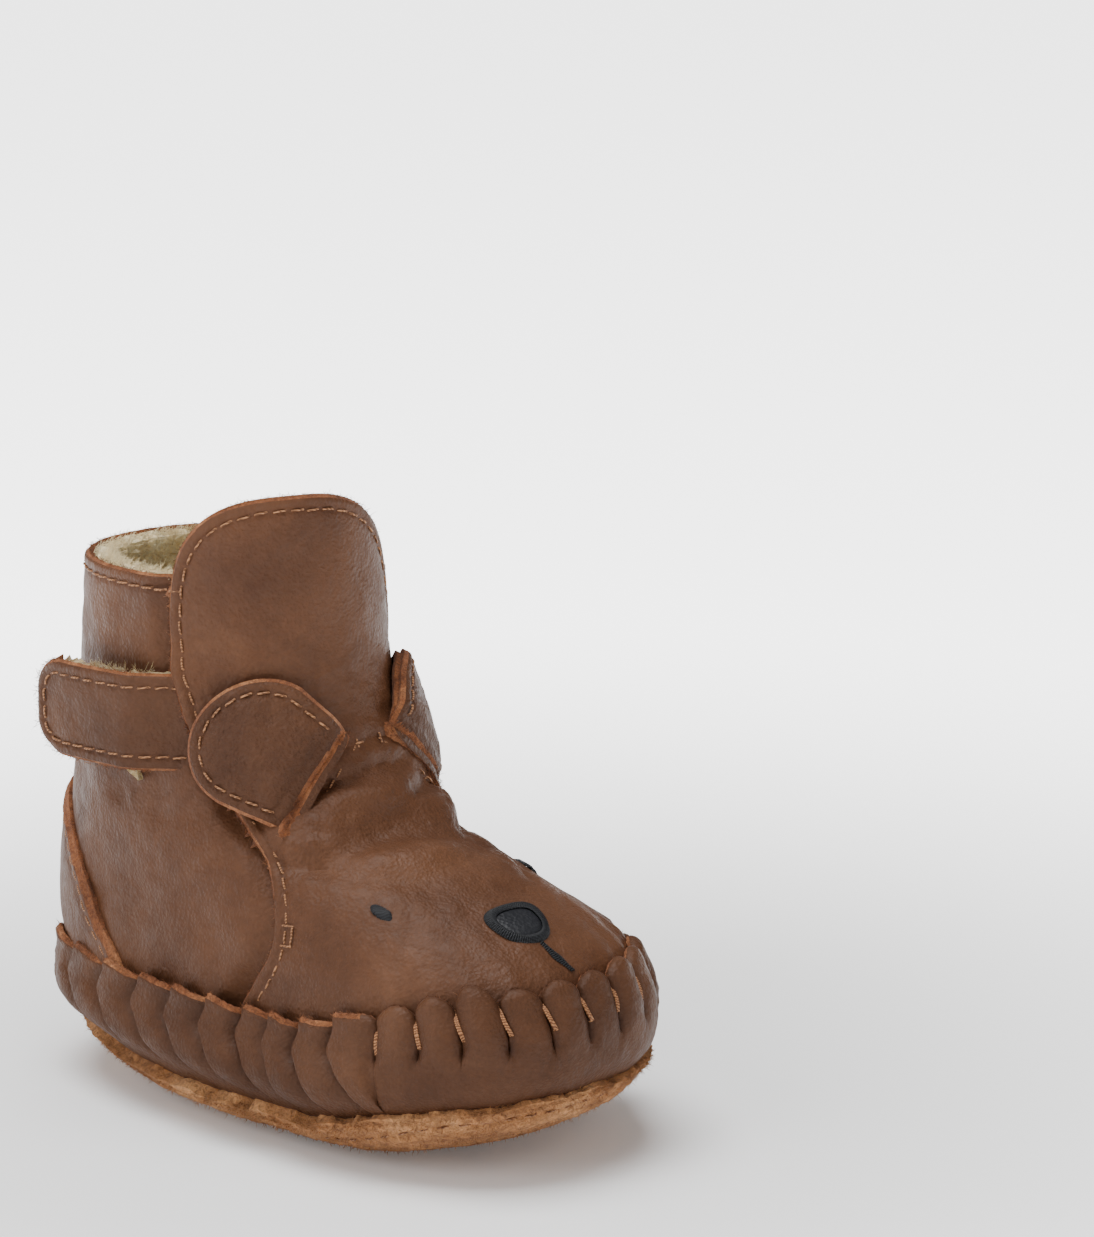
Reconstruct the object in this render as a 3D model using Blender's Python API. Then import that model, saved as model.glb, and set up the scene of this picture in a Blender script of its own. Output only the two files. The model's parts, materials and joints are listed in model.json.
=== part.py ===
"""Baby bootie with a bear's face: a soft moccasin with a tongue, two ears and a side strap.

Lengths below are millimetres. The toe points along -Y, the sole rests on z = 0, and the
strap is on the -X side. Every layer is an offset of one shape, the outer face of the upper.
"""

import math

import bpy
import mathutils
import numpy as np

MM = 0.001

# Outer face of the upper, as horizontal slices.
# Columns: height, front y, back y, half width, y of the widest place, front and back roundness.
SLICES = np.array([
    [4.7, -36.0, 33.0, 16.0, -2.0, 2.2, 2.0],
    [5.3, -44.0, 41.0, 21.0, -6.0, 2.3, 2.1],
    [7.0, -50.0, 47.0, 25.0, -10.0, 2.4, 2.2],
    [10.0, -54.5, 51.0, 27.8, -12.0, 2.5, 2.3],
    [16.0, -57.5, 54.0, 29.5, -14.0, 2.6, 2.3],
    [24.0, -59.0, 56.0, 29.5, -14.0, 2.6, 2.3],
    [30.0, -58.0, 56.8, 29.5, -12.0, 2.5, 2.3],
    [36.0, -54.0, 56.5, 28.5, -8.0, 2.3, 2.3],
    [42.0, -45.0, 56.0, 27.5, 0.0, 2.1, 2.2],
    [48.0, -30.5, 55.0, 26.5, 8.0, 2.0, 2.2],
    [54.0, -17.5, 53.8, 25.5, 14.0, 2.0, 2.2],
    [60.0, -11.0, 52.5, 25.0, 18.0, 2.0, 2.2],
    [70.0, -7.5, 51.0, 24.5, 20.0, 2.0, 2.2],
    [85.0, -6.0, 49.5, 24.5, 20.0, 2.0, 2.2],
    [97.0, -4.5, 48.5, 24.5, 20.0, 2.0, 2.2],
    [110.0, -3.5, 47.5, 24.0, 20.0, 2.0, 2.2],
])
TOE_SKEW = 4.0          # sideways shift of the toe
HEEL_RISE, TOE_RISE = 3.0, 4.5   # how far the bottom curls up at its two ends
FACE = 4.0              # angle of the face's middle, degrees toward the strap side

LEATHER = 1.3           # thickness of the upper leather
FLEECE = 2.8            # thickness of the fleece lining
GAP = 0.3               # air under small pieces and threads
INSOLE = 2.5            # thickness of the insole pad
LAYER_GAP = 0.55        # air between the upper, its lining and the band
BAND_OUT = 1.7          # outer face of the puckered band, outside the upper
CREASE_Z = 47.0         # height where the tongue bends off the vamp
RIM_Z = 91.5            # top edge of the quarter
SHELL_TUCK = 5.0        # depth that the upper runs down inside the band
THREAD_R = 0.3

LEATHER_RGB = (0.150, 0.070, 0.040)
EDGE_RGB = (0.400, 0.150, 0.060)
SUEDE_RGB = (0.380, 0.180, 0.075)
FLEECE_RGB = (0.560, 0.460, 0.280)
KHAKI_RGB = (0.420, 0.310, 0.150)
THREAD_RGB = (0.500, 0.270, 0.130)
DARK_RGB = (0.018, 0.020, 0.026)


# ---- the shape that all layers follow -----------------------------------------------------

def monotone_slopes(x, y):
    d = np.diff(y) / np.diff(x)
    m = np.zeros_like(y)
    m[0], m[-1] = d[0], d[-1]
    for i in range(1, len(x) - 1):
        if d[i - 1] * d[i] > 0:
            m[i] = 2 * d[i - 1] * d[i] / (d[i - 1] + d[i])
    return m


COLUMNS = [(SLICES[:, k], monotone_slopes(SLICES[:, 0], SLICES[:, k])) for k in range(1, 7)]


def slice_at(z):
    """The six slice values at a height, by monotone cubic interpolation."""
    x = SLICES[:, 0]
    z = np.clip(z, x[0], x[-1])
    i = np.clip(np.searchsorted(x, z) - 1, 0, len(x) - 2)
    h = x[i + 1] - x[i]
    t = (z - x[i]) / h
    return [(1 + 2 * t) * (1 - t) ** 2 * y[i] + t * (1 - t) ** 2 * h * m[i]
            + t * t * (3 - 2 * t) * y[i + 1] + t * t * (t - 1) * h * m[i + 1]
            for y, m in COLUMNS]


SLACK_Z = np.array([33.5, 37.5, 41.5, 45.0, 50.0, 56.0, 62.0, 76.0, 110.0])
SLACK = np.array([0.0, 4.2, 8.0, 9.0, 6.5, 3.0, 1.8, 2.5, 2.5])
SLACK_SLOPES = monotone_slopes(SLACK_Z, SLACK)
SLACK_PHI, SLACK_SPREAD = -50.0, 46.0


def slack(phi, t):
    """How far the soft upper falls in on the side away from the strap."""
    t = np.clip(t, SLACK_Z[0], SLACK_Z[-1])
    i = np.clip(np.searchsorted(SLACK_Z, t) - 1, 0, len(SLACK_Z) - 2)
    h = SLACK_Z[i + 1] - SLACK_Z[i]
    k = (t - SLACK_Z[i]) / h
    amount = (k * k * (3 - 2 * k) * SLACK[i + 1] + (1 + 2 * k) * (1 - k) ** 2 * SLACK[i]
              + k * (1 - k) ** 2 * h * SLACK_SLOPES[i] + k * k * (k - 1) * h * SLACK_SLOPES[i + 1])
    turn = (np.degrees(phi) - SLACK_PHI + 180) % 360 - 180
    return amount * np.exp(-(turn / SLACK_SPREAD) ** 2)


def outer_point(phi, t):
    """A point of the upper's outer face. phi: radians from the toe toward the strap side.
    t: height, or below the lowest slice a place on the flat bottom."""
    phi, t = np.broadcast_arrays(np.asarray(phi, float), np.asarray(t, float))
    low = SLICES[0, 0]
    front, back, width, middle, n_front, n_back = slice_at(t)
    c, s = np.cos(phi), np.sin(phi)
    reach = np.where(c > 0, middle - front, back - middle)
    n = np.where(c > 0, n_front, n_back)
    r = ((np.abs(c) / reach) ** n + (np.abs(s) / width) ** n) ** (-1 / n)
    r = r * np.clip(1 + (t - low) / 20.0, 0, 1) - slack(phi, t)
    x, y = -r * s, middle - r * c
    x = x - TOE_SKEW * np.clip((-y - 5) / 52, 0, 1.1) ** 1.5
    curl = HEEL_RISE * smooth(12, 52, y) + TOE_RISE * smooth(-24, -58, y)
    z = np.maximum(t, low)
    return np.stack([x, y, z + curl * (1 - smooth(7, 24, z))], -1)


def skin(phi_deg, t, d):
    """The point at distance d outside the upper's outer face."""
    phi = np.radians(phi_deg)
    phi, t, d = np.broadcast_arrays(np.asarray(phi, float), np.asarray(t, float),
                                    np.asarray(d, float))
    around = outer_point(phi + 1e-3, t) - outer_point(phi - 1e-3, t)
    up = outer_point(phi, t + 0.25) - outer_point(phi, t - 0.25)
    n = np.cross(up, around)
    length = np.linalg.norm(n, axis=-1, keepdims=True)
    n = np.where(length > 1e-9, n / np.maximum(length, 1e-12), np.array([0.0, 0.0, -1.0]))
    return outer_point(phi, t) + n * d[..., None]


def smooth(a, b, x):
    t = np.clip((np.asarray(x, float) - a) / (b - a), 0, 1)
    return t * t * (3 - 2 * t)


def seam_z(phi_deg):
    """Height of the band's top edge, where the upper is laced to it."""
    turn = np.abs((np.asarray(phi_deg, float) + 180) % 360 - 180)
    return 22.8 + 9.2 * smooth(85, 20, turn)


def sole_z(phi_deg):
    """Height of the outsole's turned-up edge."""
    turn = np.abs((np.asarray(phi_deg, float) + 180) % 360 - 180)
    return 8.6 + 5.4 * smooth(90, 15, turn) + 0.8 * smooth(120, 180, turn)


EDGE_Z = np.array([18.0, 23.4, 27.1, 32.6, 36.8, 42.9, 48.3, 52.3, 63.4, 70.7, 77.2, 83.8, 90.6, 110.0])
EDGE_NEAR = np.array([106., 104., 98., 86., 78., 64., 57., 58., 64., 69., 74., 76., 75., 74.])
EDGE_FAR = np.array([106., 104., 98., 86., 78., 64., 57., 58., 63., 60., 54., 46., 37., 36.])


def edge_phi(z):
    """Angle from the face's middle to the free edge of the vamp, or of the tongue on the strap's side."""
    return np.interp(z, EDGE_Z, EDGE_NEAR)


def far_edge(z):
    """The same angle on the side away from the strap, where the tongue narrows upward."""
    return np.interp(z, EDGE_Z, EDGE_FAR)


def tongue_phi(u, z, inset=0.0):
    """The angle at u from -1, the far edge, to 1, the edge on the strap's side."""
    near, far = edge_phi(z), far_edge(z)
    return FACE + (near - far) / 2 + u * ((near + far) / 2 - inset)


# ---- meshes ---------------------------------------------------------------------------------

def material(name, rgb, roughness):
    made = bpy.data.materials.get(name) or bpy.data.materials.new(name)
    made.use_nodes = True
    shader = made.node_tree.nodes["Principled BSDF"]
    shader.inputs["Base Color"].default_value = (*rgb, 1.0)
    shader.inputs["Roughness"].default_value = roughness
    shader.inputs["Metallic"].default_value = 0.0
    return made


def add_object(name, points, faces, look):
    mesh = bpy.data.meshes.new(name)
    mesh.from_pydata([tuple(map(float, p)) for p in np.asarray(points) * MM], [], faces)
    mesh.validate()
    mesh.materials.append(material(*look))
    mesh.shade_smooth()
    mesh.set_sharp_from_angle(angle=math.radians(40))
    made = bpy.data.objects.new(name, mesh)
    bpy.context.scene.collection.objects.link(made)
    turn_outward(made)
    return made


def set_origin(names, place):
    """Moves each object's origin to a place in millimetres and leaves its shape where it is."""
    shift = mathutils.Vector([float(v) * MM for v in place])
    for name in names:
        moved = bpy.data.objects[name]
        moved.data.transform(mathutils.Matrix.Translation(-shift))
        moved.location = shift


def turn_outward(obj):
    """Flips the faces when the closed body's signed volume is negative."""
    mesh = obj.data
    mesh.calc_loop_triangles()
    volume = 0.0
    for tri in mesh.loop_triangles:
        a, b, c = (mesh.vertices[i].co for i in tri.vertices)
        volume += a.dot(b.cross(c))
    if volume < 0:
        mesh.flip_normals()


def grid_faces(rows, cols, first, wrap, flip):
    faces = []
    for i in range(rows - 1):
        for j in range(cols if wrap else cols - 1):
            k = (j + 1) % cols
            q = [first + i * cols + j, first + i * cols + k,
                 first + (i + 1) * cols + k, first + (i + 1) * cols + j]
            faces.append(q[::-1] if flip else q)
    return faces


def panel(name, outer, inner, look):
    """A sheet between two point grids of the same size, closed round its four edges."""
    rows, cols = outer.shape[:2]
    n = rows * cols
    faces = grid_faces(rows, cols, 0, False, False) + grid_faces(rows, cols, n, False, True)
    rim = ([(0, j) for j in range(cols)] + [(i, cols - 1) for i in range(1, rows)]
           + [(rows - 1, j) for j in range(cols - 2, -1, -1)] + [(i, 0) for i in range(rows - 2, 0, -1)])
    ids = [i * cols + j for i, j in rim]
    for a, b in zip(ids, ids[1:] + ids[:1]):
        faces.append([b, a, a + n, b + n])
    return add_object(name, np.concatenate([outer.reshape(-1, 3), inner.reshape(-1, 3)]), faces, look)


def bowl(name, outer, inner, look):
    """A sheet closed in a ring and capped at its first row: row 0 of both grids is one point."""
    rows, cols = outer.shape[:2]
    ring = (rows - 1) * cols
    points = np.concatenate([outer[1:].reshape(-1, 3), inner[1:].reshape(-1, 3),
                             outer[0].mean(0)[None], inner[0].mean(0)[None]])
    faces = grid_faces(rows - 1, cols, 0, True, False) + grid_faces(rows - 1, cols, ring, True, True)
    for j in range(cols):
        k = (j + 1) % cols
        top = (rows - 2) * cols
        faces.append([top + j, top + k, ring + top + k, ring + top + j])
        faces.append([k, j, 2 * ring])
        faces.append([ring + j, ring + k, 2 * ring + 1])
    return add_object(name, points, faces, look)


def tube(name, path, radius, look, closed=False, sides=5):
    """A thread along a path of points."""
    path = np.asarray(path, float)
    ahead = np.roll(path, -1, 0) - np.roll(path, 1, 0)
    if not closed:
        ahead[0], ahead[-1] = path[1] - path[0], path[-1] - path[-2]
    ahead /= np.linalg.norm(ahead, axis=1, keepdims=True)
    side = np.cross(ahead, [0.0, 0.0, 1.0])
    steep = np.linalg.norm(side, axis=1) < 0.25
    side[steep] = np.cross(ahead[steep], [0.0, 1.0, 0.0])
    for i in range(1, len(side)):
        side[i] = side[i - 1] - ahead[i] * np.dot(side[i - 1], ahead[i])
        side[i] /= np.linalg.norm(side[i])
    side[0] /= np.linalg.norm(side[0])
    other = np.cross(ahead, side)
    points = [p + radius * (math.cos(a) * s + math.sin(a) * o)
              for p, s, o in zip(path, side, other)
              for a in [2 * math.pi * k / sides for k in range(sides)]]
    faces = []
    for i in range(len(path) if closed else len(path) - 1):
        m = (i + 1) % len(path)
        for k in range(sides):
            q = (k + 1) % sides
            faces.append([i * sides + k, i * sides + q, m * sides + q, m * sides + k])
    if not closed:
        faces.append(list(range(sides))[::-1])
        faces.append([(len(path) - 1) * sides + k for k in range(sides)])
    return add_object(name, points, faces, look)


def plate(name, outline, lift, thick, frame, look):
    """A flat plate: an outline in a frame of (origin, u, v, normal), from lift to lift + thick."""
    origin, u, v, n = frame
    base = np.array([origin + u * a + v * b for a, b in outline])
    low, high = base + n * lift, base + n * (lift + thick)
    m = len(outline)
    points = np.concatenate([low, high, [low.mean(0)], [high.mean(0)]])
    faces = []
    for i in range(m):
        k = (i + 1) % m
        faces += [[i, k, m + k, m + i], [k, i, 2 * m], [m + i, m + k, 2 * m + 1]]
    return add_object(name, points, faces, look)


# ---- bottom -----------------------------------------------------------------------------------

def ring_angles(count):
    """Angles all round, closer together at the toe and the heel, where the outline is tightest."""
    a = np.arange(count) * 2 * math.pi / count
    return np.degrees(a - 0.24 * np.sin(2 * a))


def bottom_rows(top, steps):
    """Places from the middle of the flat bottom up to the height top(phi), one row each."""
    rows = [np.full_like(top, t) for t in (-15.3, 2.0, 4.7, 5.3, 6.6, 9.0)]
    return np.array(rows + [9.0 + (top - 9.0) * k / steps for k in range(1, steps + 1)])


def build_outsole():
    phi = ring_angles(48)
    top = sole_z(phi)
    t = np.array([np.full_like(phi, v) for v in (-15.3, 2.0, 4.7, 5.3, 6.6)]
                 + [6.6 + (top - 6.6) * k / 3 for k in (1, 2, 3)])
    inner = skin(phi, t, BAND_OUT + GAP)
    outer = skin(phi, t, np.where(t < 5, 4.7, 4.3))
    outer[..., 2] = np.maximum(outer[..., 2], 0.0)
    bowl("outsole", outer, inner, ("outsole_suede", SUEDE_RGB, 0.95))
    path = skin(phi, sole_z(phi) - 2.6, 4.3 + GAP + THREAD_R)
    tube("outsole_thread", path, THREAD_R, ("thread", THREAD_RGB, 0.7), closed=True, sides=4)


def build_band():
    phi = ring_angles(48)
    t = bottom_rows(seam_z(phi), 4)
    bowl("moccasin_band", skin(phi, t, BAND_OUT), skin(phi, t, LAYER_GAP),
         ("band_leather", LEATHER_RGB, 0.5))
    t = bottom_rows(seam_z(phi) - SHELL_TUCK - 0.8, 2)
    bowl("bottom_lining", skin(phi, t, 0.0), skin(phi, t, -FLEECE),
         ("fleece", FLEECE_RGB, 0.95))
    path = skin(phi, seam_z(phi) - 3.0, BAND_OUT + GAP + 0.4)
    tube("band_cord", path, 0.4, ("cord", THREAD_RGB, 0.6), closed=True, sides=5)


def build_insole():
    phi = ring_angles(48)
    t = np.array([np.full_like(phi, v) for v in (-15.3, 2.0, 4.7, 5.3, 6.6)])
    under, over = -FLEECE - 0.5, -FLEECE - 0.5 - INSOLE
    bowl("insole_pad", skin(phi, t, under), skin(phi, t, over), ("insole_fleece", FLEECE_RGB, 0.95))


# ---- vamp and tongue ----------------------------------------------------------------------------

def build_vamp():
    steps = np.linspace(0, 1, 8)
    u = np.linspace(-1, 1, 27)
    for name, d0, d1, inset, drop, look in (
            ("vamp", 0.0, -LEATHER, 0.0, 0.0, ("vamp_leather", LEATHER_RGB, 0.5)),
            ("vamp_lining", -LEATHER - LAYER_GAP, -LEATHER - LAYER_GAP - FLEECE, 14.0, 0.0,
             ("fleece", FLEECE_RGB, 0.95))):
        high = CREASE_Z - 0.4
        rough = 21.0 + (high - 21.0) * steps[:, None]
        bottom = seam_z(FACE + u * (edge_phi(rough) - inset)) - SHELL_TUCK
        z = bottom + (high - bottom) * steps[:, None]
        phi = FACE + u * (edge_phi(z) - inset)
        panel(name, skin(phi, z, d0), skin(phi, z, d1), look)


def tongue_top(u):
    """Height of the tongue's top edge over its width, u from -1 to 1."""
    return 88.0 + 17.2 * np.where(u > 0, (1 - np.abs(u) ** 4.5) ** (1 / 2.2), (1 - u * u) ** 0.6)


def build_tongue():
    u = np.linspace(-1, 1, 25)
    u = np.sign(u) * (1 - (1 - np.abs(u)) ** 1.35)
    for name, d0, d1, inset, short, look in (
            ("tongue", 0.0, -LEATHER, 0.0, 0.0, ("tongue_leather", LEATHER_RGB, 0.5)),
            ("tongue_lining", -LEATHER - LAYER_GAP, -LEATHER - LAYER_GAP - FLEECE, 14.0, 2.0,
             ("fleece", FLEECE_RGB, 0.95))):
        steps = np.array([0, .1, .2, .3, .42, .55, .68, .8, .9, 1.0])
        z = CREASE_Z + 0.4 + (tongue_top(u) - short - CREASE_Z - 0.4) * steps[:, None]
        phi = tongue_phi(u, z, inset)
        panel(name, skin(phi, z, d0), skin(phi, z, d1), look)


# ---- quarter -----------------------------------------------------------------------------------

def quarter_phi(u, z):
    """The angle at u from 1, the front edge on the strap's side, round the heel to -1."""
    near, far = edge_phi(z) - 10.0, far_edge(z) - 10.0
    return FACE + 180 + (near - far) / 2 - u * (180 - (near + far) / 2)


def quarter_grid(low, high, rows, columns):
    """(phi, z, dip): round the back from one hidden front edge to the other."""
    v = np.linspace(0, 1, rows)[:, None]
    u = np.linspace(-1, 1, columns)
    u = u * (0.5 + 0.5 * np.abs(u))
    rough = low + (high - low) * v
    bottom = seam_z(quarter_phi(u, rough)) - SHELL_TUCK
    z = bottom + (high - bottom) * v
    phi = quarter_phi(u, z)
    near, far = edge_phi(z), far_edge(z)
    cover = np.minimum(smooth(near + 2.0, near + 14.0, phi - FACE),
                       smooth(far + 2.0, far + 14.0, 360.0 + FACE - phi))
    dip = 2.4 * (1 - cover)
    return phi, z, dip


def build_quarter():
    phi, z, dip = quarter_grid(18.0, RIM_Z, 12, 37)
    panel("quarter", skin(phi, z, -dip), skin(phi, z, -dip - LEATHER),
          ("quarter_leather", LEATHER_RGB, 0.5))
    phi, z, dip = quarter_grid(18.0, RIM_Z - 1.0, 12, 37)
    inside = -dip - LEATHER - 1.8 * LAYER_GAP
    panel("quarter_lining", skin(phi, z, inside), skin(phi, z, inside - FLEECE),
          ("fleece", FLEECE_RGB, 0.95))
    phi = np.linspace(92.0, 276.0, 34)
    tube("quarter_thread", skin(phi, RIM_Z - 2.5, GAP + THREAD_R), THREAD_R,
         ("thread", THREAD_RGB, 0.7), sides=4)


HEEL_Z = np.array([20.0, 24.0, 30.0, 38.0, 44.0, 48.0, 51.0])
HEEL_HALF = np.array([36.0, 33.0, 29.0, 24.5, 21.0, 16.5, 4.0])


def heel_half(z):
    return np.interp(z, HEEL_Z, HEEL_HALF)


def build_heel_patch():
    low = seam_z(180.0) + 0.6
    z = np.linspace(low, 50.6, 9)[:, None] * np.ones(17)
    phi = 180 + np.linspace(-1, 1, 17) * heel_half(z)
    panel("heel_patch", skin(phi, z, 0.8 + 1.2), skin(phi, z, 0.8), ("heel_leather", LEATHER_RGB, 0.5))
    zs = np.linspace(low + 0.5, 47.0, 14)
    left = [(180 - heel_half(s) + 4.5, s) for s in zs]
    right = [(180 + heel_half(s) - 4.5, s) for s in zs[::-1]]
    reach = heel_half(zs[-1]) - 4.5
    over = [(180 + u * reach, 47.0 + 1.2 * (1 - u * u)) for u in np.linspace(-0.8, 0.8, 7)]
    path = np.array([skin(a, s, 2.4 + THREAD_R) for a, s in left + over + right])
    tube("heel_patch_thread", path, THREAD_R, ("thread", THREAD_RGB, 0.7), sides=4)


# ---- ears -------------------------------------------------------------------------------------

EAR_R = 11.8
EAR_LIFT = 0.4          # the ear's back face over the highest skin under it
EAR_AT = (41.0, 64.1)   # angle from the face's middle, height
SLIT_A = (10.0, 64.8)
SLIT_B = (45.0, 50.7)


def ear_frame(side):
    """(middle, u, v, normal, reach): v runs from the slit to the ear's free edge. The plane is
    the one that fits the skin under the ear best, raised until it clears it."""
    origin = skin(FACE + side * EAR_AT[0], EAR_AT[1], 0.0)
    a = skin(FACE + side * SLIT_A[0], SLIT_A[1], 0.0)
    b = skin(FACE + side * SLIT_B[0], SLIT_B[1], 0.0)
    phi = FACE + side * np.linspace(8.0, 72.0, 33)[:, None]
    z = np.linspace(50.0, 78.0, 33)[None, :]
    near = skin(phi, z, 0.0).reshape(-1, 3)
    near = near[np.linalg.norm(near - origin, axis=1) < EAR_R + 0.5]
    n = np.linalg.svd(near - near.mean(0))[2][2]
    n *= np.sign(np.dot(n, skin(FACE + side * EAR_AT[0], EAR_AT[1], 1.0) - origin))
    along = (b - a) - n * np.dot(b - a, n)
    u = along / np.linalg.norm(along)
    v = np.cross(n, u)
    reach = np.dot(origin - (a + b) / 2, v)
    if reach < 0:
        v, reach = -v, -reach
    return origin + n * np.dot(near - origin, n).max(), u, v, n, reach


def ear_outline(reach):
    """A disc cut straight along the slit, as (u, v) places round its middle."""
    low = -min(reach, EAR_R - 2.5)
    half = math.sqrt(EAR_R ** 2 - low ** 2)
    start = math.atan2(low, half)
    angles = np.linspace(start, math.pi - start, 25)
    return [(EAR_R * math.cos(a), EAR_R * math.sin(a)) for a in angles], low


def build_ear(side, name):
    origin, u, v, n, reach = ear_frame(side)
    outline, low = ear_outline(reach)
    frame = (origin, u, v, n)
    plate(name + "_inner", outline, EAR_LIFT, 1.1, frame, ("ear_suede", EDGE_RGB, 0.9))
    plate(name + "_outer", outline, EAR_LIFT + 1.1 + GAP, 1.3, frame, ("ear_leather", LEATHER_RGB, 0.5))
    ring = [(x * 0.82, y * 0.82) for x, y in outline]
    path = [origin + u * x + v * y + n * (EAR_LIFT + 2.4 + 2 * GAP + THREAD_R) for x, y in ring]
    tube(name + "_thread", path, THREAD_R, ("thread", THREAD_RGB, 0.7), sides=4)
    set_origin([name + "_inner", name + "_outer", name + "_thread"], origin + v * low + n * EAR_LIFT)


# ---- strap -------------------------------------------------------------------------------------

STRAP_Z = (59.0, 75.5)
STRAP_Y = (13.5, 43.0)
STRAP_X = -27.9         # inner face of the strap leather


def rounded_end(z0, z1, y0, y1, r, inset=0.0):
    z0, z1, y1 = z0 + inset, z1 - inset, y1 - inset
    r = r - inset
    out = [(y0, z0)]
    for cz, a0 in ((z0 + r, -90), (z1 - r, 0)):
        for k in range(7):
            a = math.radians(a0 + 15 * k)
            out.append((y1 - r + r * math.cos(a), cz + r * math.sin(a)))
    out.append((y0, z1))
    return out


def build_strap():
    frame = (np.array([STRAP_X, 0.0, 0.0]), np.array([0.0, 1.0, 0.0]),
             np.array([0.0, 0.0, 1.0]), np.array([-1.0, 0.0, 0.0]))
    outline = rounded_end(*STRAP_Z, *STRAP_Y, 5.0)
    plate("strap", outline, 0.0, LEATHER, frame, ("strap_leather", LEATHER_RGB, 0.5))
    pile = rounded_end(STRAP_Z[0] + 0.6, STRAP_Z[1] - 0.6, STRAP_Y[0] + 1.0, STRAP_Y[1] - 0.6, 4.5)
    plate("strap_pile", pile, -GAP - 1.2, 1.2, frame, ("pile", KHAKI_RGB, 0.95))
    path = [(STRAP_X - LEATHER - GAP - THREAD_R, y, z)
            for y, z in rounded_end(*STRAP_Z, STRAP_Y[0] + 1.5, STRAP_Y[1], 5.0, 1.8)]
    tube("strap_thread", path, THREAD_R, ("thread", THREAD_RGB, 0.7), sides=4)
    root = (STRAP_X - LEATHER, STRAP_Y[0], sum(STRAP_Z) / 2)
    set_origin(["strap", "strap_pile", "strap_thread"], root)
    z = np.linspace(62.0, 72.5, 4)[:, None] * np.ones(7)
    phi = np.linspace(98.0, 128.0, 7) * np.ones((4, 1))
    panel("hook_tape", skin(phi, z, GAP + 0.7), skin(phi, z, GAP), ("hook_tape", KHAKI_RGB, 0.8))


# ---- face and threads --------------------------------------------------------------------------

def patch_on_skin(name, phi0, z0, half_phi, half_z, d0, d1, look, rings=3, count=20):
    """A small oval pad that follows the skin, from offset d0 up to d1 with a rounded edge."""
    low, high = [], []
    a = 2 * math.pi * np.arange(count) / count
    for k in np.linspace(0, 1, rings + 1):
        phi, z = phi0 + half_phi * k * np.cos(a), z0 + half_z * k * np.sin(a)
        low.append(skin(phi, z, d0))
        high.append(skin(phi, z, d0 + (d1 - d0) * (1 - 0.55 * k ** 4)))
    return bowl(name, np.array(high), np.array(low), look)


def build_face():
    patch_on_skin("nose", FACE + 1.0, 39.3, 7.6, 2.5, GAP, GAP + 1.1, ("nose_leather", DARK_RGB, 0.4))
    a = 2 * math.pi * np.arange(28) / 28
    path = skin(FACE + 1.0 + 8.6 * np.cos(a), 39.3 + 2.95 * np.sin(a), GAP + THREAD_R)
    tube("nose_thread", path, THREAD_R, ("dark_thread", DARK_RGB, 0.6), closed=True, sides=4)
    path = [skin(FACE + 1.0 - 2.2 * s * s, 35.9 - 2.3 * s, GAP + 0.45) for s in np.linspace(0, 1, 6)]
    tube("mouth_thread", path, 0.45, ("dark_thread", DARK_RGB, 0.6), sides=6)
    for name, side in (("eye_right", 1), ("eye_left", -1)):
        patch_on_skin(name, FACE + side * 31.5, 41.9, 3.3, 1.15, GAP, GAP + 0.8,
                      ("dark_thread", DARK_RGB, 0.6), rings=2, count=12)


def build_threads():
    for name, side in (("vamp_thread_right", 1), ("vamp_thread_left", -1)):
        z = np.linspace(26.5, CREASE_Z - 1.5, 14)
        tube(name, skin(FACE + side * (edge_phi(z) - 5.0), z, GAP + THREAD_R), THREAD_R,
             ("thread", THREAD_RGB, 0.7), sides=4)
        frame_at = skin(FACE + side * 72.5, 34.6, 0.0)
        up = skin(FACE + side * 72.5, 36.6, 0.0) - frame_at
        n = skin(FACE + side * 72.5, 34.6, 1.0) - frame_at
        up -= n * np.dot(up, n)
        up /= np.linalg.norm(up)
        frame = (frame_at, np.cross(up, n), up, n)
        plate(name.replace("vamp_thread", "bar_tack"), [(-1.2, -0.5), (1.2, -0.5), (1.2, 0.5), (-1.2, 0.5)],
              GAP, 0.5, frame, ("thread", THREAD_RGB, 0.7))
    z = np.linspace(CREASE_Z + 2.0, 86.0, 15)
    up = [(FACE + edge_phi(s) - 5.0, s) for s in z]
    over = [(tongue_phi(u * 0.93, s), s) for u in np.linspace(0.98, -0.98, 21)
            for s in [float(tongue_top(u * 0.97)) - 2.4]]
    down = [(FACE - far_edge(s) + 5.0, s) for s in z[::-1]]
    path = np.array([skin(a, s, GAP + THREAD_R) for a, s in up + over + down])
    tube("tongue_thread", path, THREAD_R, ("thread", THREAD_RGB, 0.7), sides=4)
    set_origin(["tongue", "tongue_lining", "tongue_thread"], skin(FACE, CREASE_Z, 0.0))


def clear_scene():
    for obj in list(bpy.data.objects):
        bpy.data.objects.remove(obj, do_unlink=True)


def main():
    clear_scene()
    build_outsole()
    build_band()
    build_insole()
    build_vamp()
    build_tongue()
    build_quarter()
    build_heel_patch()
    build_ear(1, "ear_right")
    build_ear(-1, "ear_left")
    build_strap()
    build_face()
    build_threads()


main()
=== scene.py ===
import json
import math

import bpy
import numpy as np
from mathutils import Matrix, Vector, noise

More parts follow.
